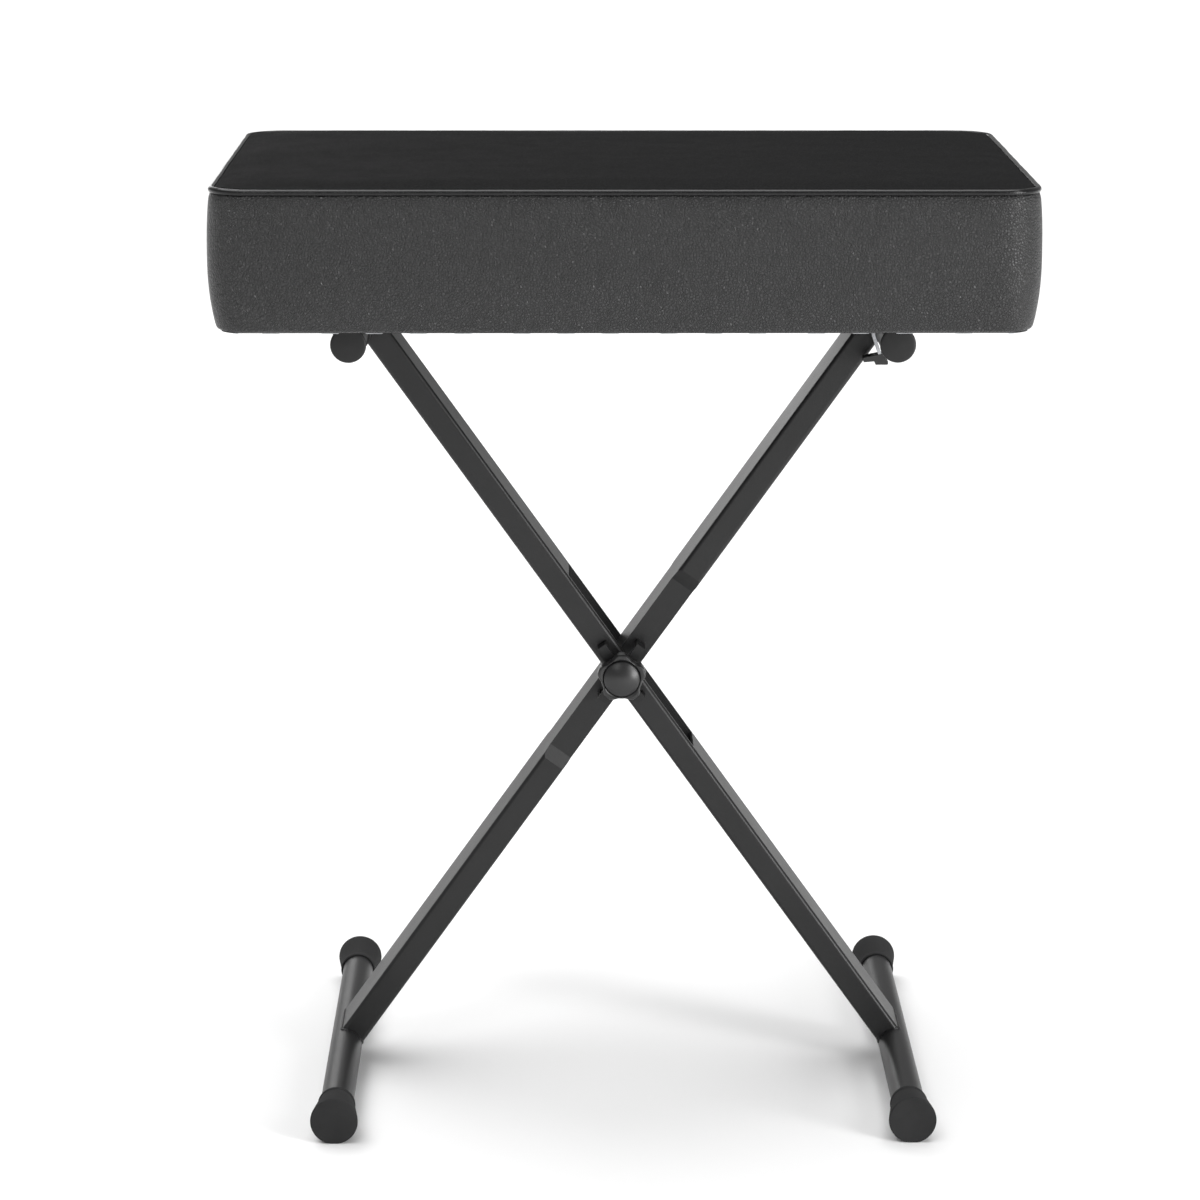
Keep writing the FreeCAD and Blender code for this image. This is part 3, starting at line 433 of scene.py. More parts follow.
def ring_mesh(name, rings, closed=False, ends=False, middle=None):
    """A smooth mesh over rings of points; ends caps it, middle fills its end rings across."""
    mesh = bpy.data.meshes.new(name)
    count = len(rings[0])
    points = [tuple(point) for ring in rings for point in ring]
    faces = []
    for row in range(len(rings) if closed else len(rings) - 1):
        low, high = row * count, (row + 1) % len(rings) * count
        for k in range(count):
            after = (k + 1) % count
            faces.append((low + k, low + after, high + after, high + k))
    if ends:
        faces.append(tuple(reversed(range(count))))
        faces.append(tuple((len(rings) - 1) * count + k for k in range(count)))
    if middle is not None:
        fill_across(faces, 0, count, middle, True)
        fill_across(faces, (len(rings) - 1) * count, count, middle, False)
    mesh.from_pydata(points, [], faces)
    mesh.validate()
    mesh.polygons.foreach_set("use_smooth", [True] * len(mesh.polygons))
    return mesh


def outward(mesh):
    """Turns a closed mesh's faces outwards."""
    shape = bmesh.new()
    shape.from_mesh(mesh)
    bmesh.ops.remove_doubles(shape, verts=shape.verts, dist=1e-6)
    bmesh.ops.recalc_face_normals(shape, faces=shape.faces)
    shape.to_mesh(mesh)
    shape.free()
    return mesh


def turned(name, profile, sides, axis):
    """A closed form turned about a line along Y; profile holds (Y, radius) pairs."""
    rings = [[Vector((axis.x + radius * east, along, axis.z + radius * up))
              for east, up in circle(sides)] for along, radius in profile]
    return outward(ring_mesh(name, rings, ends=True))


def rounded_profile(corners, radius):
    """A profile whose inner corners are rounded by a radius, limited by its neighbours."""
    steps = 4
    points = [Vector((*corner, 0)) for corner in corners]
    out = [tuple(points[0].xy)]
    for before, corner, after in zip(points, points[1:], points[2:]):
        towards, away = before - corner, after - corner
        reach = min(radius, towards.length * 0.45, away.length * 0.45)
        start = corner + towards.normalized() * reach
        end = corner + away.normalized() * reach
        for k in range(steps + 1):
            t = k / steps
            out.append(tuple((start.lerp(corner, t).lerp(corner.lerp(end, t), t)).xy))
    out.append(tuple(points[-1].xy))
    return out


def spaced(path, step, closed):
    """The same path with points an even step apart."""
    points = path + path[:1] if closed else path
    walked = [0.0]
    for before, after in zip(points, points[1:]):
        walked.append(walked[-1] + (after - before).length)
    count = max(2, round(walked[-1] / step))
    places = np.linspace(0, walked[-1], count, endpoint=not closed)
    axes = [np.interp(places, walked, [point[axis] for point in points]) for axis in range(3)]
    return [Vector(place) for place in zip(*axes)]


def swept(name, path, radius, sides, closed=False):
    """A round wire along a path; radius gives its radius at each point."""
    rings = []
    count = len(path)
    side = None
    for k, point in enumerate(path):
        before = path[k - 1] if closed or k else point
        after = path[(k + 1) % count] if closed or k < count - 1 else point
        along = (after - before).normalized()
        if side is None:
            side = along.orthogonal()
        side = (side - along * side.dot(along)).normalized()
        up = along.cross(side)
        rings.append([point + (side * near + up * far) * radius(k) for near, far in circle(sides)])
    if closed:
        first = rings[0][0]
        shift = min(range(sides), key=lambda j: (rings[-1][j] - first).length)
        rings = [ring[round(shift * k / count):] + ring[:round(shift * k / count)]
                 for k, ring in enumerate(rings)]
    return outward(ring_mesh(name, rings, closed=closed, ends=not closed))


def stamp_tree():
    """Geometry nodes that set a copy of a unit on each point, turned by the point's own angle."""
    tree = bpy.data.node_groups.new("stamp", "GeometryNodeTree")
    sockets = [("Geometry", "INPUT", "Geometry"), ("Unit", "INPUT", "Object"),
               ("Finish", "INPUT", "Material"), ("Geometry", "OUTPUT", "Geometry")]
    names = [tree.interface.new_socket(name, in_out=way, socket_type="NodeSocket" + kind).identifier
             for name, way, kind in sockets]
    start, end = (tree.nodes.new("NodeGroup" + kind) for kind in ("Input", "Output"))
    unit, turn, set_on, real, finish = (tree.nodes.new("GeometryNode" + kind) for kind in (
        "ObjectInfo", "InputNamedAttribute", "InstanceOnPoints", "RealizeInstances",
        "SetMaterial"))
    turn.data_type = "FLOAT_VECTOR"
    turn.inputs["Name"].default_value = "turn"
    for first, second in (
            (start.outputs[0], set_on.inputs["Points"]), (start.outputs[1], unit.inputs["Object"]),
            (unit.outputs["Geometry"], set_on.inputs["Instance"]),
            (turn.outputs["Attribute"], set_on.inputs["Rotation"]),
            (set_on.outputs[0], real.inputs[0]), (real.outputs[0], finish.inputs["Geometry"]),
            (start.outputs[2], finish.inputs["Material"]), (finish.outputs[0], end.inputs[0])):
        tree.links.new(first, second)
    return tree, names


def applied(thing):
    """A plain mesh of an object with its modifiers applied."""
    bpy.context.view_layer.update()
    return bpy.data.meshes.new_from_object(
        thing.evaluated_get(bpy.context.evaluated_depsgraph_get()))


def stamped(name, spots, turns, unit_mesh, material):
    """A plain mesh with a copy of a unit at each spot."""
    points = bpy.data.meshes.new(name + "_points")
    points.from_pydata([tuple(spot) for spot in spots], [], [])
    angles = points.attributes.new("turn", "FLOAT_VECTOR", "POINT")
    angles.data.foreach_set("vector", [part for turn in turns for part in turn])
    unit = add(name + "_unit", unit_mesh)
    carrier = add(name + "_carrier", points)
    tree, names = stamp_tree()
    stamp = carrier.modifiers.new("stamp", "NODES")
    stamp.node_group = tree
    stamp[names[1]] = unit
    stamp[names[2]] = library(material)
    mesh = applied(carrier)
    mesh.name = name
    for thing in (carrier, unit):
        bpy.data.objects.remove(thing)
    bpy.data.node_groups.remove(tree)
    return mesh


def staple():
    """A flat-crowned staple seen from below, its legs going up into the board."""
    crown, wire, depth, bend = 10 * MM, 0.5 * MM, 3 * MM, 0.9 * MM
    path = [Vector((-crown / 2, 0, depth)), Vector((-crown / 2, 0, bend))]
    path += [Vector((-crown / 2 + bend * (1 - math.cos(turn)), 0, bend * (1 - math.sin(turn))))
             for turn in (0.5, 1.05, math.pi / 2)]
    path += [Vector((-point.x, 0, point.z)) for point in reversed(path)]
    return swept("staple", path, lambda k: wire, 8)


def pan_screw(length):
    """A pan-head screw pointing up, its cross recess cut into the head below."""
    radius, head, shank = 3.6 * MM, 1.8 * MM, 1.9 * MM
    slot_reach, slot_half, slot_sink = 1.9 * MM, 0.55 * MM, 0.9 * MM
    face_rows = 12
    rows = []
    for k in range(face_rows):
        part = k / (face_rows - 1)
        rows.append((max(0.05 * MM, radius * 0.92 * part), 0.45 * MM * part ** 3))
    rows += [(radius * 0.985, 0.8 * MM), (radius, 1.2 * MM), (radius, head), (shank, head),
             (shank, length - 3 * MM), (0.3 * MM, length)]
    rings = []
    for number, (wide, rise) in enumerate(rows):
        ring = []
        for east, north in circle(48):
            across, up = wide * east, wide * north
            arm = min(max(abs(across) / slot_reach, abs(up) / slot_half),
                      max(abs(up) / slot_reach, abs(across) / slot_half))
            cut = min(1, max(0, 1.25 - arm) / 0.4) if number < face_rows else 0
            ring.append(Vector((across, up, rise + slot_sink * cut)))
        rings.append(ring)
    return outward(ring_mesh("pan_screw", rings, ends=True))


# Seat

class SeatPlan:
    """Rounded rectangles round the seat, all with the same number of points."""

    def __init__(self, corner, spacing):
        self.corner = corner
        self.turns = 8
        self.runs = [2 * round((reach - corner) / spacing) for reach in SEAT_HIGH.xy]

    def ring(self, inset, height):
        corner = max(self.corner - inset, self.corner * 0.12)
        reach_x, reach_y = (reach - inset - corner for reach in SEAT_HIGH.xy)
        hubs = [Vector((east * reach_x, north * reach_y, height)) for east, north in QUARTERS]
        points = []
        for side, hub in enumerate(hubs):
            following, start = hubs[(side + 1) % 4], math.pi / 2 * side
            for k in range(self.turns):
                angle = start + math.pi / 2 * k / self.turns
                points.append(hub + Vector((math.cos(angle), math.sin(angle), 0)) * corner)
            out = Vector((math.cos(start + math.pi / 2), math.sin(start + math.pi / 2), 0)) * corner
            run = self.runs[side % 2]
            for k in range(run):
                points.append((hub + out).lerp(following + out, k / run))
        return points

    def middle(self, ring):
        """Number of the point in the middle of a ring's right side, on its line of symmetry."""
        return len(ring) - self.runs[1] // 2


def seat_levels(seat):
    """Inset and height of each ring of the cover, from the turned-under edge to the crown."""
    base, top = SEAT_LOW.z, SEAT_HIGH.z
    band = top - base - seat.crown - 2 * seat.piping
    draw = seat.bottom_draw
    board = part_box("seat_board")[1]
    pocket = SEAT_HIGH.x - board.x - 0.1 * MM
    roof = board.z - base + 0.1 * MM
    rows = [(pocket, roof), (pocket, roof * 0.5), (pocket, 1.5 * MM)] if pocket < seat.wrap else []
    rows += [(seat.wrap, 1.2 * MM), (seat.wrap - 0.3 * MM, 0.3 * MM), (seat.wrap * 0.75, 0.0),
             (draw + 2.4 * MM, 0.1 * MM), (draw + 0.9 * MM, 0.8 * MM), (draw + 0.2 * MM, 2.2 * MM)]
    band_rows, panel_rows = 13, 18
    for k in range(band_rows):
        part = (k + 0.6) / band_rows
        draw = seat.bottom_draw if part < 0.5 else seat.top_draw
        rows.append((draw * abs(2 * part - 1) ** 2.2, 3 * MM + (band - 6 * MM) * part))
    groove = seat.top_draw + seat.piping
    held_from = len(rows)
    rows += [(seat.top_draw + 0.1 * MM, band - 2.2 * MM),
             (seat.top_draw + 0.8 * MM, band - 0.9 * MM),
             (groove - 1.2 * MM, band - 0.1 * MM), (groove + 1.6 * MM, band + seat.piping * 0.5),
             (groove + 2.2 * MM, band + seat.piping), (groove + 1.8 * MM, band + seat.piping * 1.5),
             (groove + 2.4 * MM, band + seat.piping * 1.9)]
    held_to = len(rows)
    reach = SEAT_HIGH.y - seat.mesh / 2
    start = groove + 3.4 * MM
    for k in range(panel_rows):
        part = (k / (panel_rows - 1)) ** 1.2
        rise = seat.crown * (1 - (1 - min(1, part / 0.75)) ** 2.2)
        rows.append((start + (reach - start) * part, band + 2 * seat.piping + rise))
    return [(inset, base + height) for inset, height in rows], range(held_from, held_to)


def inflate(piece, held, pressure, cap):
    """Cloth under pressure, each point's travel capped; the result is written to the mesh."""
    frames, stiffness, bending = 20, 30, 4
    start = np.array([vert.co for vert in piece.data.vertices])
    group = piece.vertex_groups.new(name="held")
    for index, weight in enumerate(held):
        if weight > 0:
            group.add([index], weight, "REPLACE")
    cloth = piece.modifiers.new("cloth", "CLOTH")
    settings = cloth.settings
    settings.vertex_group_mass = "held"
    settings.use_pressure = True
    settings.uniform_pressure_force = pressure
    settings.tension_stiffness = settings.compression_stiffness = stiffness
    settings.bending_stiffness = bending
    settings.effector_weights.gravity = 0
    settings.quality = 3
    cloth.point_cache.frame_start = 1
    cloth.point_cache.frame_end = frames
    for number in range(1, frames + 1):
        bpy.context.scene.frame_set(number)
    shown = piece.evaluated_get(bpy.context.evaluated_depsgraph_get()).to_mesh()
    end = np.array([vert.co for vert in shown.vertices])
    travel = end - start
    size = np.linalg.norm(travel, axis=1, keepdims=True)
    travel *= np.minimum(1, cap / np.maximum(size, 1e-9))
    piece.modifiers.remove(cloth)
    piece.vertex_groups.remove(group)
    bpy.context.scene.frame_set(1)
    piece.data.vertices.foreach_set("co", (start + travel).ravel())
    print(f"{piece.name}: cloth moved points by {size.max() / MM:.1f} mm at most")


def subdivide(piece):
    """Applies one level of subdivision."""
    finer = piece.modifiers.new("finer", "SUBSURF")
    finer.levels = finer.render_levels = 1
    coarse, piece.data = piece.data, applied(piece)
    piece.modifiers.remove(finer)
    bpy.data.meshes.remove(coarse)


def gather(mesh, seat):
    """Small puckers along both edges of the band, and a slight unevenness of the foam."""
    folds_round, folds_up = 110, 22
    band_top = SEAT_HIGH.z - seat.crown - 2 * seat.piping
    normals = [vert.normal.copy() for vert in mesh.vertices]
    for vert, normal in zip(mesh.vertices, normals):
        place = vert.co
        below = band_top - place.z
        if below > -1 * MM and abs(normal.z) < 0.7:
            around = Vector((place.x * folds_round, place.y * folds_round, place.z * folds_up))
            fold = noise.noise(around) + 0.5 * noise.noise(around * 2.3)
            fade = math.exp(-max(0, below) / (9 * MM))
            lower = math.exp(-(place.z - SEAT_LOW.z) / (10 * MM))
            vert.co = place + normal * seat.pucker * fold * (fade + 0.2 * lower)
        if place.z > band_top + 2 * seat.piping - 1 * MM:
            edge = min(SEAT_HIGH.x - abs(place.x), SEAT_HIGH.y - abs(place.y))
            wave = noise.noise(place * 16) * 0.3 * MM + noise.noise(place * 42) * 0.12 * MM
            fold = noise.noise(Vector((place.x * 120, place.y * 120, 3.1)))
            near = math.exp(-max(0, edge - 7 * MM) / (7 * MM))
            vert.co.z = place.z + wave + fold * 0.3 * MM * near


class BENCH_OT_cushion(bpy.types.Operator):
    """Make the boxed cushion: cover band, crowned top panel and turned-under edge"""
    bl_idname = "bench.cushion"
    bl_label = "Cushion"

    def execute(self, context):
        seat = context.scene.bench_seat
        plan = SeatPlan(seat.corner, seat.mesh)
        levels, seam = seat_levels(seat)
        turned_under = range(6)
        rings = [plan.ring(inset, height) for inset, height in levels]
        mesh = ring_mesh("seat_cushion_cover", rings, middle=plan.middle(rings[0]))
        piece = keep(mesh, "seat_cushion_cover", ["band_leather", "panel_leather"], "seat",
                     ["seat_cushion"])
        held = [float(row in turned_under or row in seam)
                for row, ring in enumerate(rings) for point in ring]
        inflate(piece, held, 4.0, 2.2 * MM)
        subdivide(piece)
        gather(piece.data, seat)
        line = SEAT_HIGH.z - seat.crown - seat.piping
        for face in piece.data.polygons:
            face.material_index = int(face.center.z > line)
        return {"FINISHED"}


class BENCH_OT_piping(bpy.types.Operator):
    """Make the piping round the top edge"""
    bl_idname = "bench.piping"
    bl_label = "Piping"

    def execute(self, context):
        seat = context.scene.bench_seat
        plan = SeatPlan(seat.corner, 4 * MM)
        height = SEAT_HIGH.z - seat.crown - seat.piping
        path = plan.ring(seat.top_draw + seat.piping, height)
        count, sides = len(path), 14
        rings = []
        for k, point in enumerate(path):
            along = (path[(k + 1) % count] - path[k - 1]).normalized()
            out = along.cross(Vector((0, 0, 1)))
            swell = 1 + 0.045 * noise.noise(point * 150)
            spot = point + out * 0.25 * MM * noise.noise(point * 60)
            rings.append([spot + (out * east - Vector((0, 0, up))) * seat.piping * swell
                          for east, up in circle(sides)])
        mesh = ring_mesh("seat_welt", rings, closed=True)
        layer = mesh.uv_layers.new(name="along")
        for loop in mesh.loops:
            row, column = divmod(loop.vertex_index, sides)
            layer.data[loop.index].uv = (row / count * seat.girth, column / sides)
        keep(mesh, "seat_welt", "welt_vinyl", "seat", ["seat_piping"])
        return {"FINISHED"}


class BENCH_OT_dust_cover(bpy.types.Operator):
    """Make the lining under the seat with its hem and its row of staples"""
    bl_idname = "bench.dust_cover"
    bl_label = "Dust cover"

    def execute(self, context):
        seat = context.scene.bench_seat
        plan = SeatPlan(seat.corner, seat.mesh)
        plan.corner = seat.corner * 0.8
        outer = seat.wrap - seat.overlap
        inner = outer + 5 * MM
        base, centre_rows = SEAT_LOW.z, 16
        blocks = [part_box(name) for name in ("hinge_cleat_front", "hinge_cleat_rear",
                                            "rest_rail_front", "rest_rail_rear", "catch_bracket")]

        def sag(point):
            edge = min(SEAT_HIGH.x - abs(point.x), SEAT_HIGH.y - abs(point.y)) - 14 * MM
            room = [max(low.x - point.x, point.x - high.x, low.y - point.y, point.y - high.y)
                    for low, high in blocks]
            clear = max(0.0, min([edge, abs(point.y) - 26 * MM, *room])) / (30 * MM)
            return 0.6 * MM * min(1, clear) * (0.7 + 0.5 * noise.noise(point * 14))

        insets = [outer, outer + 0.5 * MM, outer + 2.5 * MM, inner]
        insets += [inner + (SEAT_HIGH.y - seat.mesh / 2 - inner) * (k / centre_rows)
                   for k in range(1, centre_rows + 1)]
        rings = []
        for side, thick in ((-1, -0.1 * MM), (1, -0.5 * MM)):
            for inset in (insets if side > 0 else reversed(insets)):
                ring = plan.ring(inset, base - thick)
                hem = 0.3 * MM if inset < outer + 6 * MM else 0.0
                crease = 0.15 * MM * noise.noise(Vector((inset * 300, 0, side)))
                rings.append([Vector((p.x, p.y, p.z - hem - sag(p) - crease)) for p in ring])
        mesh = ring_mesh("seat_lining", rings, middle=plan.middle(rings[0]))
        piece = keep(mesh, "seat_lining", "lining_felt", "seat", ["dust_cover"])
        wide, deep = (2 * (reach - outer) for reach in SEAT_HIGH.xy)
        wide * deep - (4 - math.pi) * plan.corner ** 2

        line = plan.ring(outer + 4 * MM, base - 0.7 * MM)
        spots, turns = [], []
        walked, wanted = 0.0, seat.staple_pitch / 2
        for k, point in enumerate(line):
            after = line[(k + 1) % len(line)]
            walked += (after - point).length
            if walked > wanted:
                wanted += seat.staple_pitch
                way = after - point
                stray = 0.16 * noise.noise(point * 900)
                spots.append(point)
                turns.append((0.0, 0.0, math.atan2(way.y, way.x) + stray))
        staples = stamped("lining_staples", spots, turns, staple(), "zinc_plate")
        keep(staples, "lining_staples", [], "seat")
        return {"FINISHED"}


def caps(role):
    """Node, box, outer end and direction outwards of the front and the rear cap of a tube."""
    for face, sign in (("front", -1), ("rear", 1)):
        node = f"{role}_cap_{face}"
        low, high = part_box(node)
        yield node, low, high, (high.y if sign > 0 else low.y), sign


def cap_mesh(name, corners, edge, end, sign, sides, axis):
    """A turned cap; corners holds (depth inwards from the outer end, radius) pairs."""
    profile = [(end - sign * along, max(wide, 0.2 * MM))
               for along, wide in rounded_profile(corners, edge)]
    return turned(name, profile, sides, axis)


class BENCH_OT_feet(bpy.types.Operator):
    """Make the flared rubber ends of the foot tubes"""
    bl_idname = "bench.feet"
    bl_label = "Rubber feet"

    def execute(self, context):
        steel = context.scene.bench_frame
        for side in ("outer", "inner"):
            for node, low, high, end, sign in caps(f"{side}_foot"):
                radius = (high.x - low.x) / 2
                axis = Vector(((low.x + high.x) / 2, 0, high.z - radius))
                reach = high.y - low.y
                neck = steel.tube + 1.1 * MM
                lip = neck + 0.3 * MM
                corners = [(0, 0), (0, radius), (2 * MM, radius), (reach - 3 * MM, neck),
                           (reach - 3 * MM, lip), (reach, lip), (reach, steel.tube),
                           (3 * MM, steel.tube), (3 * MM, 0)]
                mesh = cap_mesh(f"rubber_{node}", corners, steel.foot_edge, end, sign, 64, axis)
                for vert in mesh.vertices:
                    vert.co.z = max(vert.co.z, 0.0)
                keep(mesh, f"rubber_{node}", "foot_rubber", f"{side}_leg", [node])
        return {"FINISHED"}


class BENCH_OT_tube_caps(bpy.types.Operator):
    """Make the domed plugs in the ends of the cross tubes"""
    bl_idname = "bench.tube_caps"
    bl_label = "Tube caps"

    def execute(self, context):
        steel = context.scene.bench_frame
        bore = steel.tube - 1.6 * MM
        for role, body in (("hinge", "outer_leg"), ("rest", "inner_leg")):
            for node, low, high, end, sign in caps(f"{role}_tube"):
                radius = (high.x - low.x) / 2
                corners = [(0, 0), (0.35 * MM, radius * 0.7), (0.6 * MM, radius),
                           (3 * MM, radius), (3 * MM, bore), (12 * MM, bore), (12 * MM, 0)]
                mesh = cap_mesh(f"plug_{node}", corners, steel.cap_edge, end, sign, 56,
                                centre_line(node))
                keep(mesh, f"plug_{node}", "plug_plastic", body, [node])
        return {"FINISHED"}


class BENCH_OT_knob(bpy.types.Operator):
    """Make the five-lobed knob and its domed cap"""
    bl_idname = "bench.knob"
    bl_label = "Star knob"

    def execute(self, context):
        self.star(context.scene.bench_knob)
        self.dome()
        return {"FINISHED"}

    def star(self, knob):
        low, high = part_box("star_knob")
        back, front = high.y - knob.hub_depth, low.y
        sides = 40 * knob.lobes
        flat, slope = 0.1, 0.42
        quarter = (0, 0.4, 0.8, 1.2, math.pi / 2)

        def reach(angle):
            step = math.tau / knob.lobes
            off = abs((angle - math.pi / 2 + step / 2) % step - step / 2)
            fall = min(1.0, max(0.0, (off - flat) / slope))
            return knob.tip - (knob.tip - knob.core) * fall * fall * (3 - 2 * fall)

        edge = knob.edge
        rows = [(high.y, 0.0, knob.hub), (back, 0.0, knob.hub), (back, edge * 2.2, None)]
        rows += [(back - edge * (1 - math.cos(turn)), edge * (1 - math.sin(turn)), None)
                 for turn in quarter]
        rows += [(front + edge * (1 - math.cos(turn)), edge * (1 - math.sin(turn)), None)
                 for turn in reversed(quarter)]
        low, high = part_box("knob_cap")
        radius, floor = (high.x - low.x) / 2, front + 0.8 * MM
        rows += [(front, 0.0, radius + 0.7 * MM), (floor, 0.0, radius + 0.4 * MM),
                 (floor, 0.0, 2 * MM)]
        rings = []
        for along, inset, radius in rows:
            ring = []
            for k in range(sides):
                angle = math.tau * k / sides
                wide = radius if radius is not None else reach(angle) - inset
                ring.append(Vector((PIVOT.x + wide * math.cos(angle), along,
                                    PIVOT.z + wide * math.sin(angle))))
            rings.append(ring)
        mesh = outward(ring_mesh("knob_star", rings, ends=True))
        keep(mesh, "knob_star", "black_plastic", "lock_knob", ["star_knob"])

    def dome(self):
        low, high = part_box("knob_cap")
        radius = (high.x - low.x) / 2
        bow = high.y - low.y - 0.2 * MM
        ball = (radius ** 2 + bow ** 2) / (2 * bow)
        span = math.asin(radius / ball)
        profile = [(high.y + 0.7 * MM, 0.2 * MM), (high.y + 0.7 * MM, radius - 0.2 * MM),
                   (high.y, radius)]
        profile += [(low.y + ball - ball * math.cos(span * part), ball * math.sin(span * part))
                    for part in (1 - k / 14 for k in range(14))]
        profile.append((low.y, 0.15 * MM))
        mesh = turned("knob_dome", profile, 72, PIVOT)
        keep(mesh, "knob_dome", "black_plastic", "lock_knob", ["knob_cap"])


class BENCH_OT_spring(bpy.types.Operator):
    """Make the knob's coil spring"""
    bl_idname = "bench.spring"
    bl_label = "Lock spring"

    def execute(self, context):
        knob = context.scene.bench_knob
        low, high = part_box("lock_spring")
        start, end = low.y + knob.wire, high.y - knob.wire
        steps_round = 36
        steps = steps_round * knob.turns
        angles = [math.tau * k / steps_round for k in range(steps + 1)]
        path = [Vector((PIVOT.x + knob.coil * math.cos(angle), start + (end - start) * k / steps,
                        PIVOT.z + knob.coil * math.sin(angle))) for k, angle in enumerate(angles)]
        mesh = swept("spring_wire", path, lambda k: knob.wire, 12)
        piece = keep(mesh, "spring_wire", "zinc_plate", "outer_leg", ["lock_spring"])
        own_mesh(piece)
        return {"FINISHED"}


class BENCH_OT_screws(bpy.types.Operator):
    """Make the pan-head screws with cross recesses that hold the fittings to the board"""
    bl_idname = "bench.screws"
    bl_label = "Screws"

    def execute(self, context):
        groups, apart = [], 8 * MM
        for vert in frame["nodes"]["board_screws"].data.vertices:
            near = [group for group in groups if (group[0].xy - vert.co.xy).length < apart]
            if near:
                near[0].append(vert.co.copy())
            else:
                groups.append([vert.co.copy()])
        spots, turns = [], []
        for k, group in enumerate(groups):
            xs, ys = [point.x for point in group], [point.y for point in group]
            spots.append(Vector(((min(xs) + max(xs)) / 2, (min(ys) + max(ys)) / 2,
                                 min(point.z for point in group))))
            turns.append((0.0, 0.0, 1.3 * k))
        if len(spots) < 13:
            raise RuntimeError(f"only {len(spots)} screws were found")
        length = max(point.z for point in groups[0]) - spots[0].z
        mesh = stamped("seat_screws", spots, turns, pan_screw(length), "zinc_plate")
        keep(mesh, "seat_screws", [], "seat", ["board_screws"])
        return {"FINISHED"}


class BENCH_OT_welds(bpy.types.Operator):
    """Make the rippled weld beads where the legs meet the foot tubes and cross tubes"""
    bl_idname = "bench.welds"
    bl_label = "Weld beads"

    def execute(self, context):
        steel = context.scene.bench_frame
        half_width, half_depth, corner = steel.leg_width / 2, steel.leg_depth / 2, steel.leg_corner
        outline = []
        for turn, (east, north) in enumerate(QUARTERS):
            for k in range(9):
                angle = math.pi / 2 * (turn + k / 8)
                outline.append((east * (half_width - corner) + corner * math.cos(angle),
                                north * (half_depth - corner) + corner * math.sin(angle)))
        near, far = 2.0 * MM, steel.tube * 0.93
        run = [(far + (near - far) * k / 6, -half_depth) for k in range(7)]
        run += [(near, -half_depth + 2 * half_depth * k / 16) for k in range(1, 16)]
        run += [(near + (far - near) * k / 6, half_depth) for k in range(7)]
        for side, sign, cross in (("outer", -1, "hinge"), ("inner", 1, "rest")):
            up = Vector((sign * math.cos(LEG_ANGLE), 0, math.sin(LEG_ANGLE)))
            out = Vector((-sign * math.sin(LEG_ANGLE), 0, math.cos(LEG_ANGLE)))
            for name, tube, line, way in (("foot", f"{side}_foot_tube", outline, up),
                                          ("cross", f"{cross}_cross_tube", run, -up)):
                centre = centre_line(tube)
                path = [centre + out * wide + Vector((0, deep, 0))
                        + way * math.sqrt(steel.tube ** 2 - wide ** 2) for wide, deep in line]
                self.bead(steel, f"weld_{name}_{side}", path, f"{side}_leg", line is outline)
        return {"FINISHED"}

    def bead(self, steel, name, path, body, closed):
        per_ripple = 5
        path = spaced(path, steel.ripple / per_ripple, closed)

        def radius(k):
            beat = abs(math.sin(math.pi * k / per_ripple))
            return steel.bead * (0.82 + 0.22 * beat + 0.1 * noise.noise(path[k] * 300))

        mesh = swept(name, path, radius, 10, closed)
        keep(mesh, name, "frame_paint", body)


def shine(name, lamp, place, way):
    """Hangs a lamp at a place, pointing the given way."""
    light = add(name, lamp)
    light.location = place
    light.rotation_euler = Vector(way).to_track_quat("-Z", "Y").to_euler()


class BENCH_OT_stage(bpy.types.Operator):
    """Set the floor, lights, world and camera"""
    bl_idname = "bench.stage"
    bl_label = "Stage"

    def execute(self, context):
        scene, stage = context.scene, context.scene.bench_stage
        floor = bpy.data.meshes.new("floor")
        reach = 14.0
        floor.from_pydata([(reach * east, reach * north, 0) for east, north in QUARTERS],
                          [], [(0, 1, 2, 3)])
        plane = add("floor", floor)
        look = Finish("floor_paper", Roughness=0.9, Specular_IOR_Level=0.1)
        floor.materials.append(look.finish(Base_Color=stage.floor))
        aim = Vector((0, 0, 0.28))
        for name, place, power, width in (
                ("key", (1.8, -1.7, 1.5), stage.key, 0.7),
                ("fill", (-0.9, -2.4, 2.2), stage.fill, 0.6),
                ("side", (2.1, -1.7, 0.5), stage.side, 0.8),
                ("back", (-0.9, 2.8, 0.9), stage.back, 1.0)):
            lamp = bpy.data.lights.new(name, "AREA")
            lamp.energy = power
            lamp.size = width
            shine(name, lamp, place, aim - Vector(place))
        lamp = bpy.data.lights.new("sky", "SUN")
        lamp.energy = stage.sky
        lamp.angle = math.radians(70)
        shine("sky", lamp, (0, 0, 0), (0.16, -0.2, -1.0))
        world = bpy.data.worlds.new("studio")
        world.use_nodes = True
        background = world.node_tree.nodes["Background"].inputs
        background["Color"].default_value = (1, 1, 1, 1)
        background["Strength"].default_value = stage.world
        scene.world = world
        scene.view_settings.view_transform = "Standard"
        lens = bpy.data.cameras.new("view")
        lens.lens = 120
        lens.sensor_width = 36
        scene.camera = add("view", lens)
        scene.camera.matrix_world = (Matrix.Translation(CAMERA_PLACE)
                                     @ Matrix.Rotation(-CAMERA_YAW, 4, "Z")
                                     @ Matrix.Rotation(math.pi / 2 - CAMERA_PITCH, 4, "X")
                                     @ Matrix.Rotation(CAMERA_ROLL, 4, "Z"))
        return {"FINISHED"}


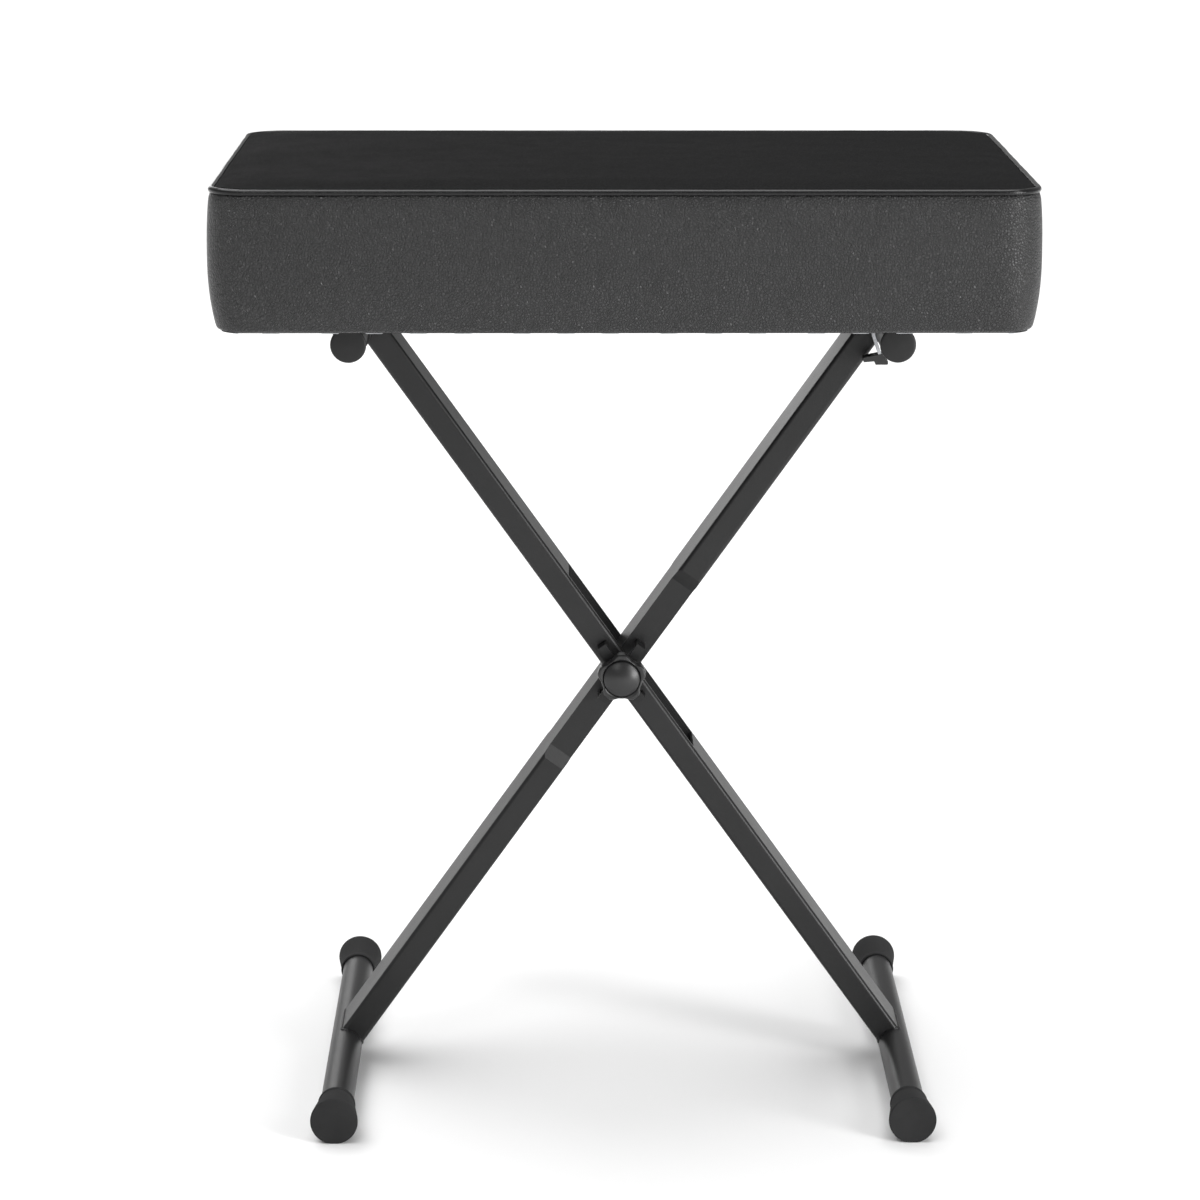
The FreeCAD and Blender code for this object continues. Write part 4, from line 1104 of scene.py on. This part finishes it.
class BENCH_OT_frame_finish(bpy.types.Operator):
    """Give the CAD nodes that stay their finishes"""
    bl_idname = "bench.frame_finish"
    bl_label = "Frame finishes"

    def execute(self, context):
        looks = {"frame_paint": "frame_paint", "rubber": "foot_rubber",
                 "black_plastic": "black_plastic", "nylon": "grey_nylon", "zinc": "zinc_plate",
                 "plywood": "plywood", "lining": "lining_felt"}
        for part in frame["record"]["subparts"]:
            if part["material_slot"] in looks:
                dress(part["node"], looks[part["material_slot"]])
        dress("lock_plate", "plug_plastic")
        return {"FINISHED"}


class BENCH_PT_panel(bpy.types.Panel):
    """The bench's pieces in the sidebar"""
    bl_idname = "BENCH_PT_panel"
    bl_label = "Bench"
    bl_space_type = "VIEW_3D"
    bl_region_type = "UI"
    bl_category = "Bench"

    def draw(self, context):
        for operator in OPERATORS:
            self.layout.operator(operator.bl_idname)
        for group in GROUPS:
            settings = getattr(context.scene, group)
            for name in settings.bl_rna.properties.keys():
                if name not in ("rna_type", "name"):
                    self.layout.prop(settings, name)


GROUPS = {"bench_seat": BenchSeatSettings, "bench_frame": BenchFrameSettings,
          "bench_knob": BenchKnobSettings, "bench_stage": BenchStageSettings}
OPERATORS = [BENCH_OT_frame_finish, BENCH_OT_cushion, BENCH_OT_piping, BENCH_OT_dust_cover,
             BENCH_OT_feet, BENCH_OT_tube_caps, BENCH_OT_knob, BENCH_OT_spring, BENCH_OT_screws,
             BENCH_OT_welds, BENCH_OT_stage]


def register():
    for item in (*GROUPS.values(), *OPERATORS, BENCH_PT_panel):
        bpy.utils.register_class(item)
    for name, group in GROUPS.items():
        setattr(bpy.types.Scene, name, PointerProperty(type=group))


def unregister():
    for name in GROUPS:
        delattr(bpy.types.Scene, name)
    for item in (BENCH_PT_panel, *reversed(OPERATORS), *GROUPS.values()):
        bpy.utils.unregister_class(item)


def main():
    register()
    for operator in OPERATORS:
        group, name = operator.bl_idname.split(".")
        getattr(getattr(bpy.ops, group), name)()


if __name__ == "__main__":
    main()
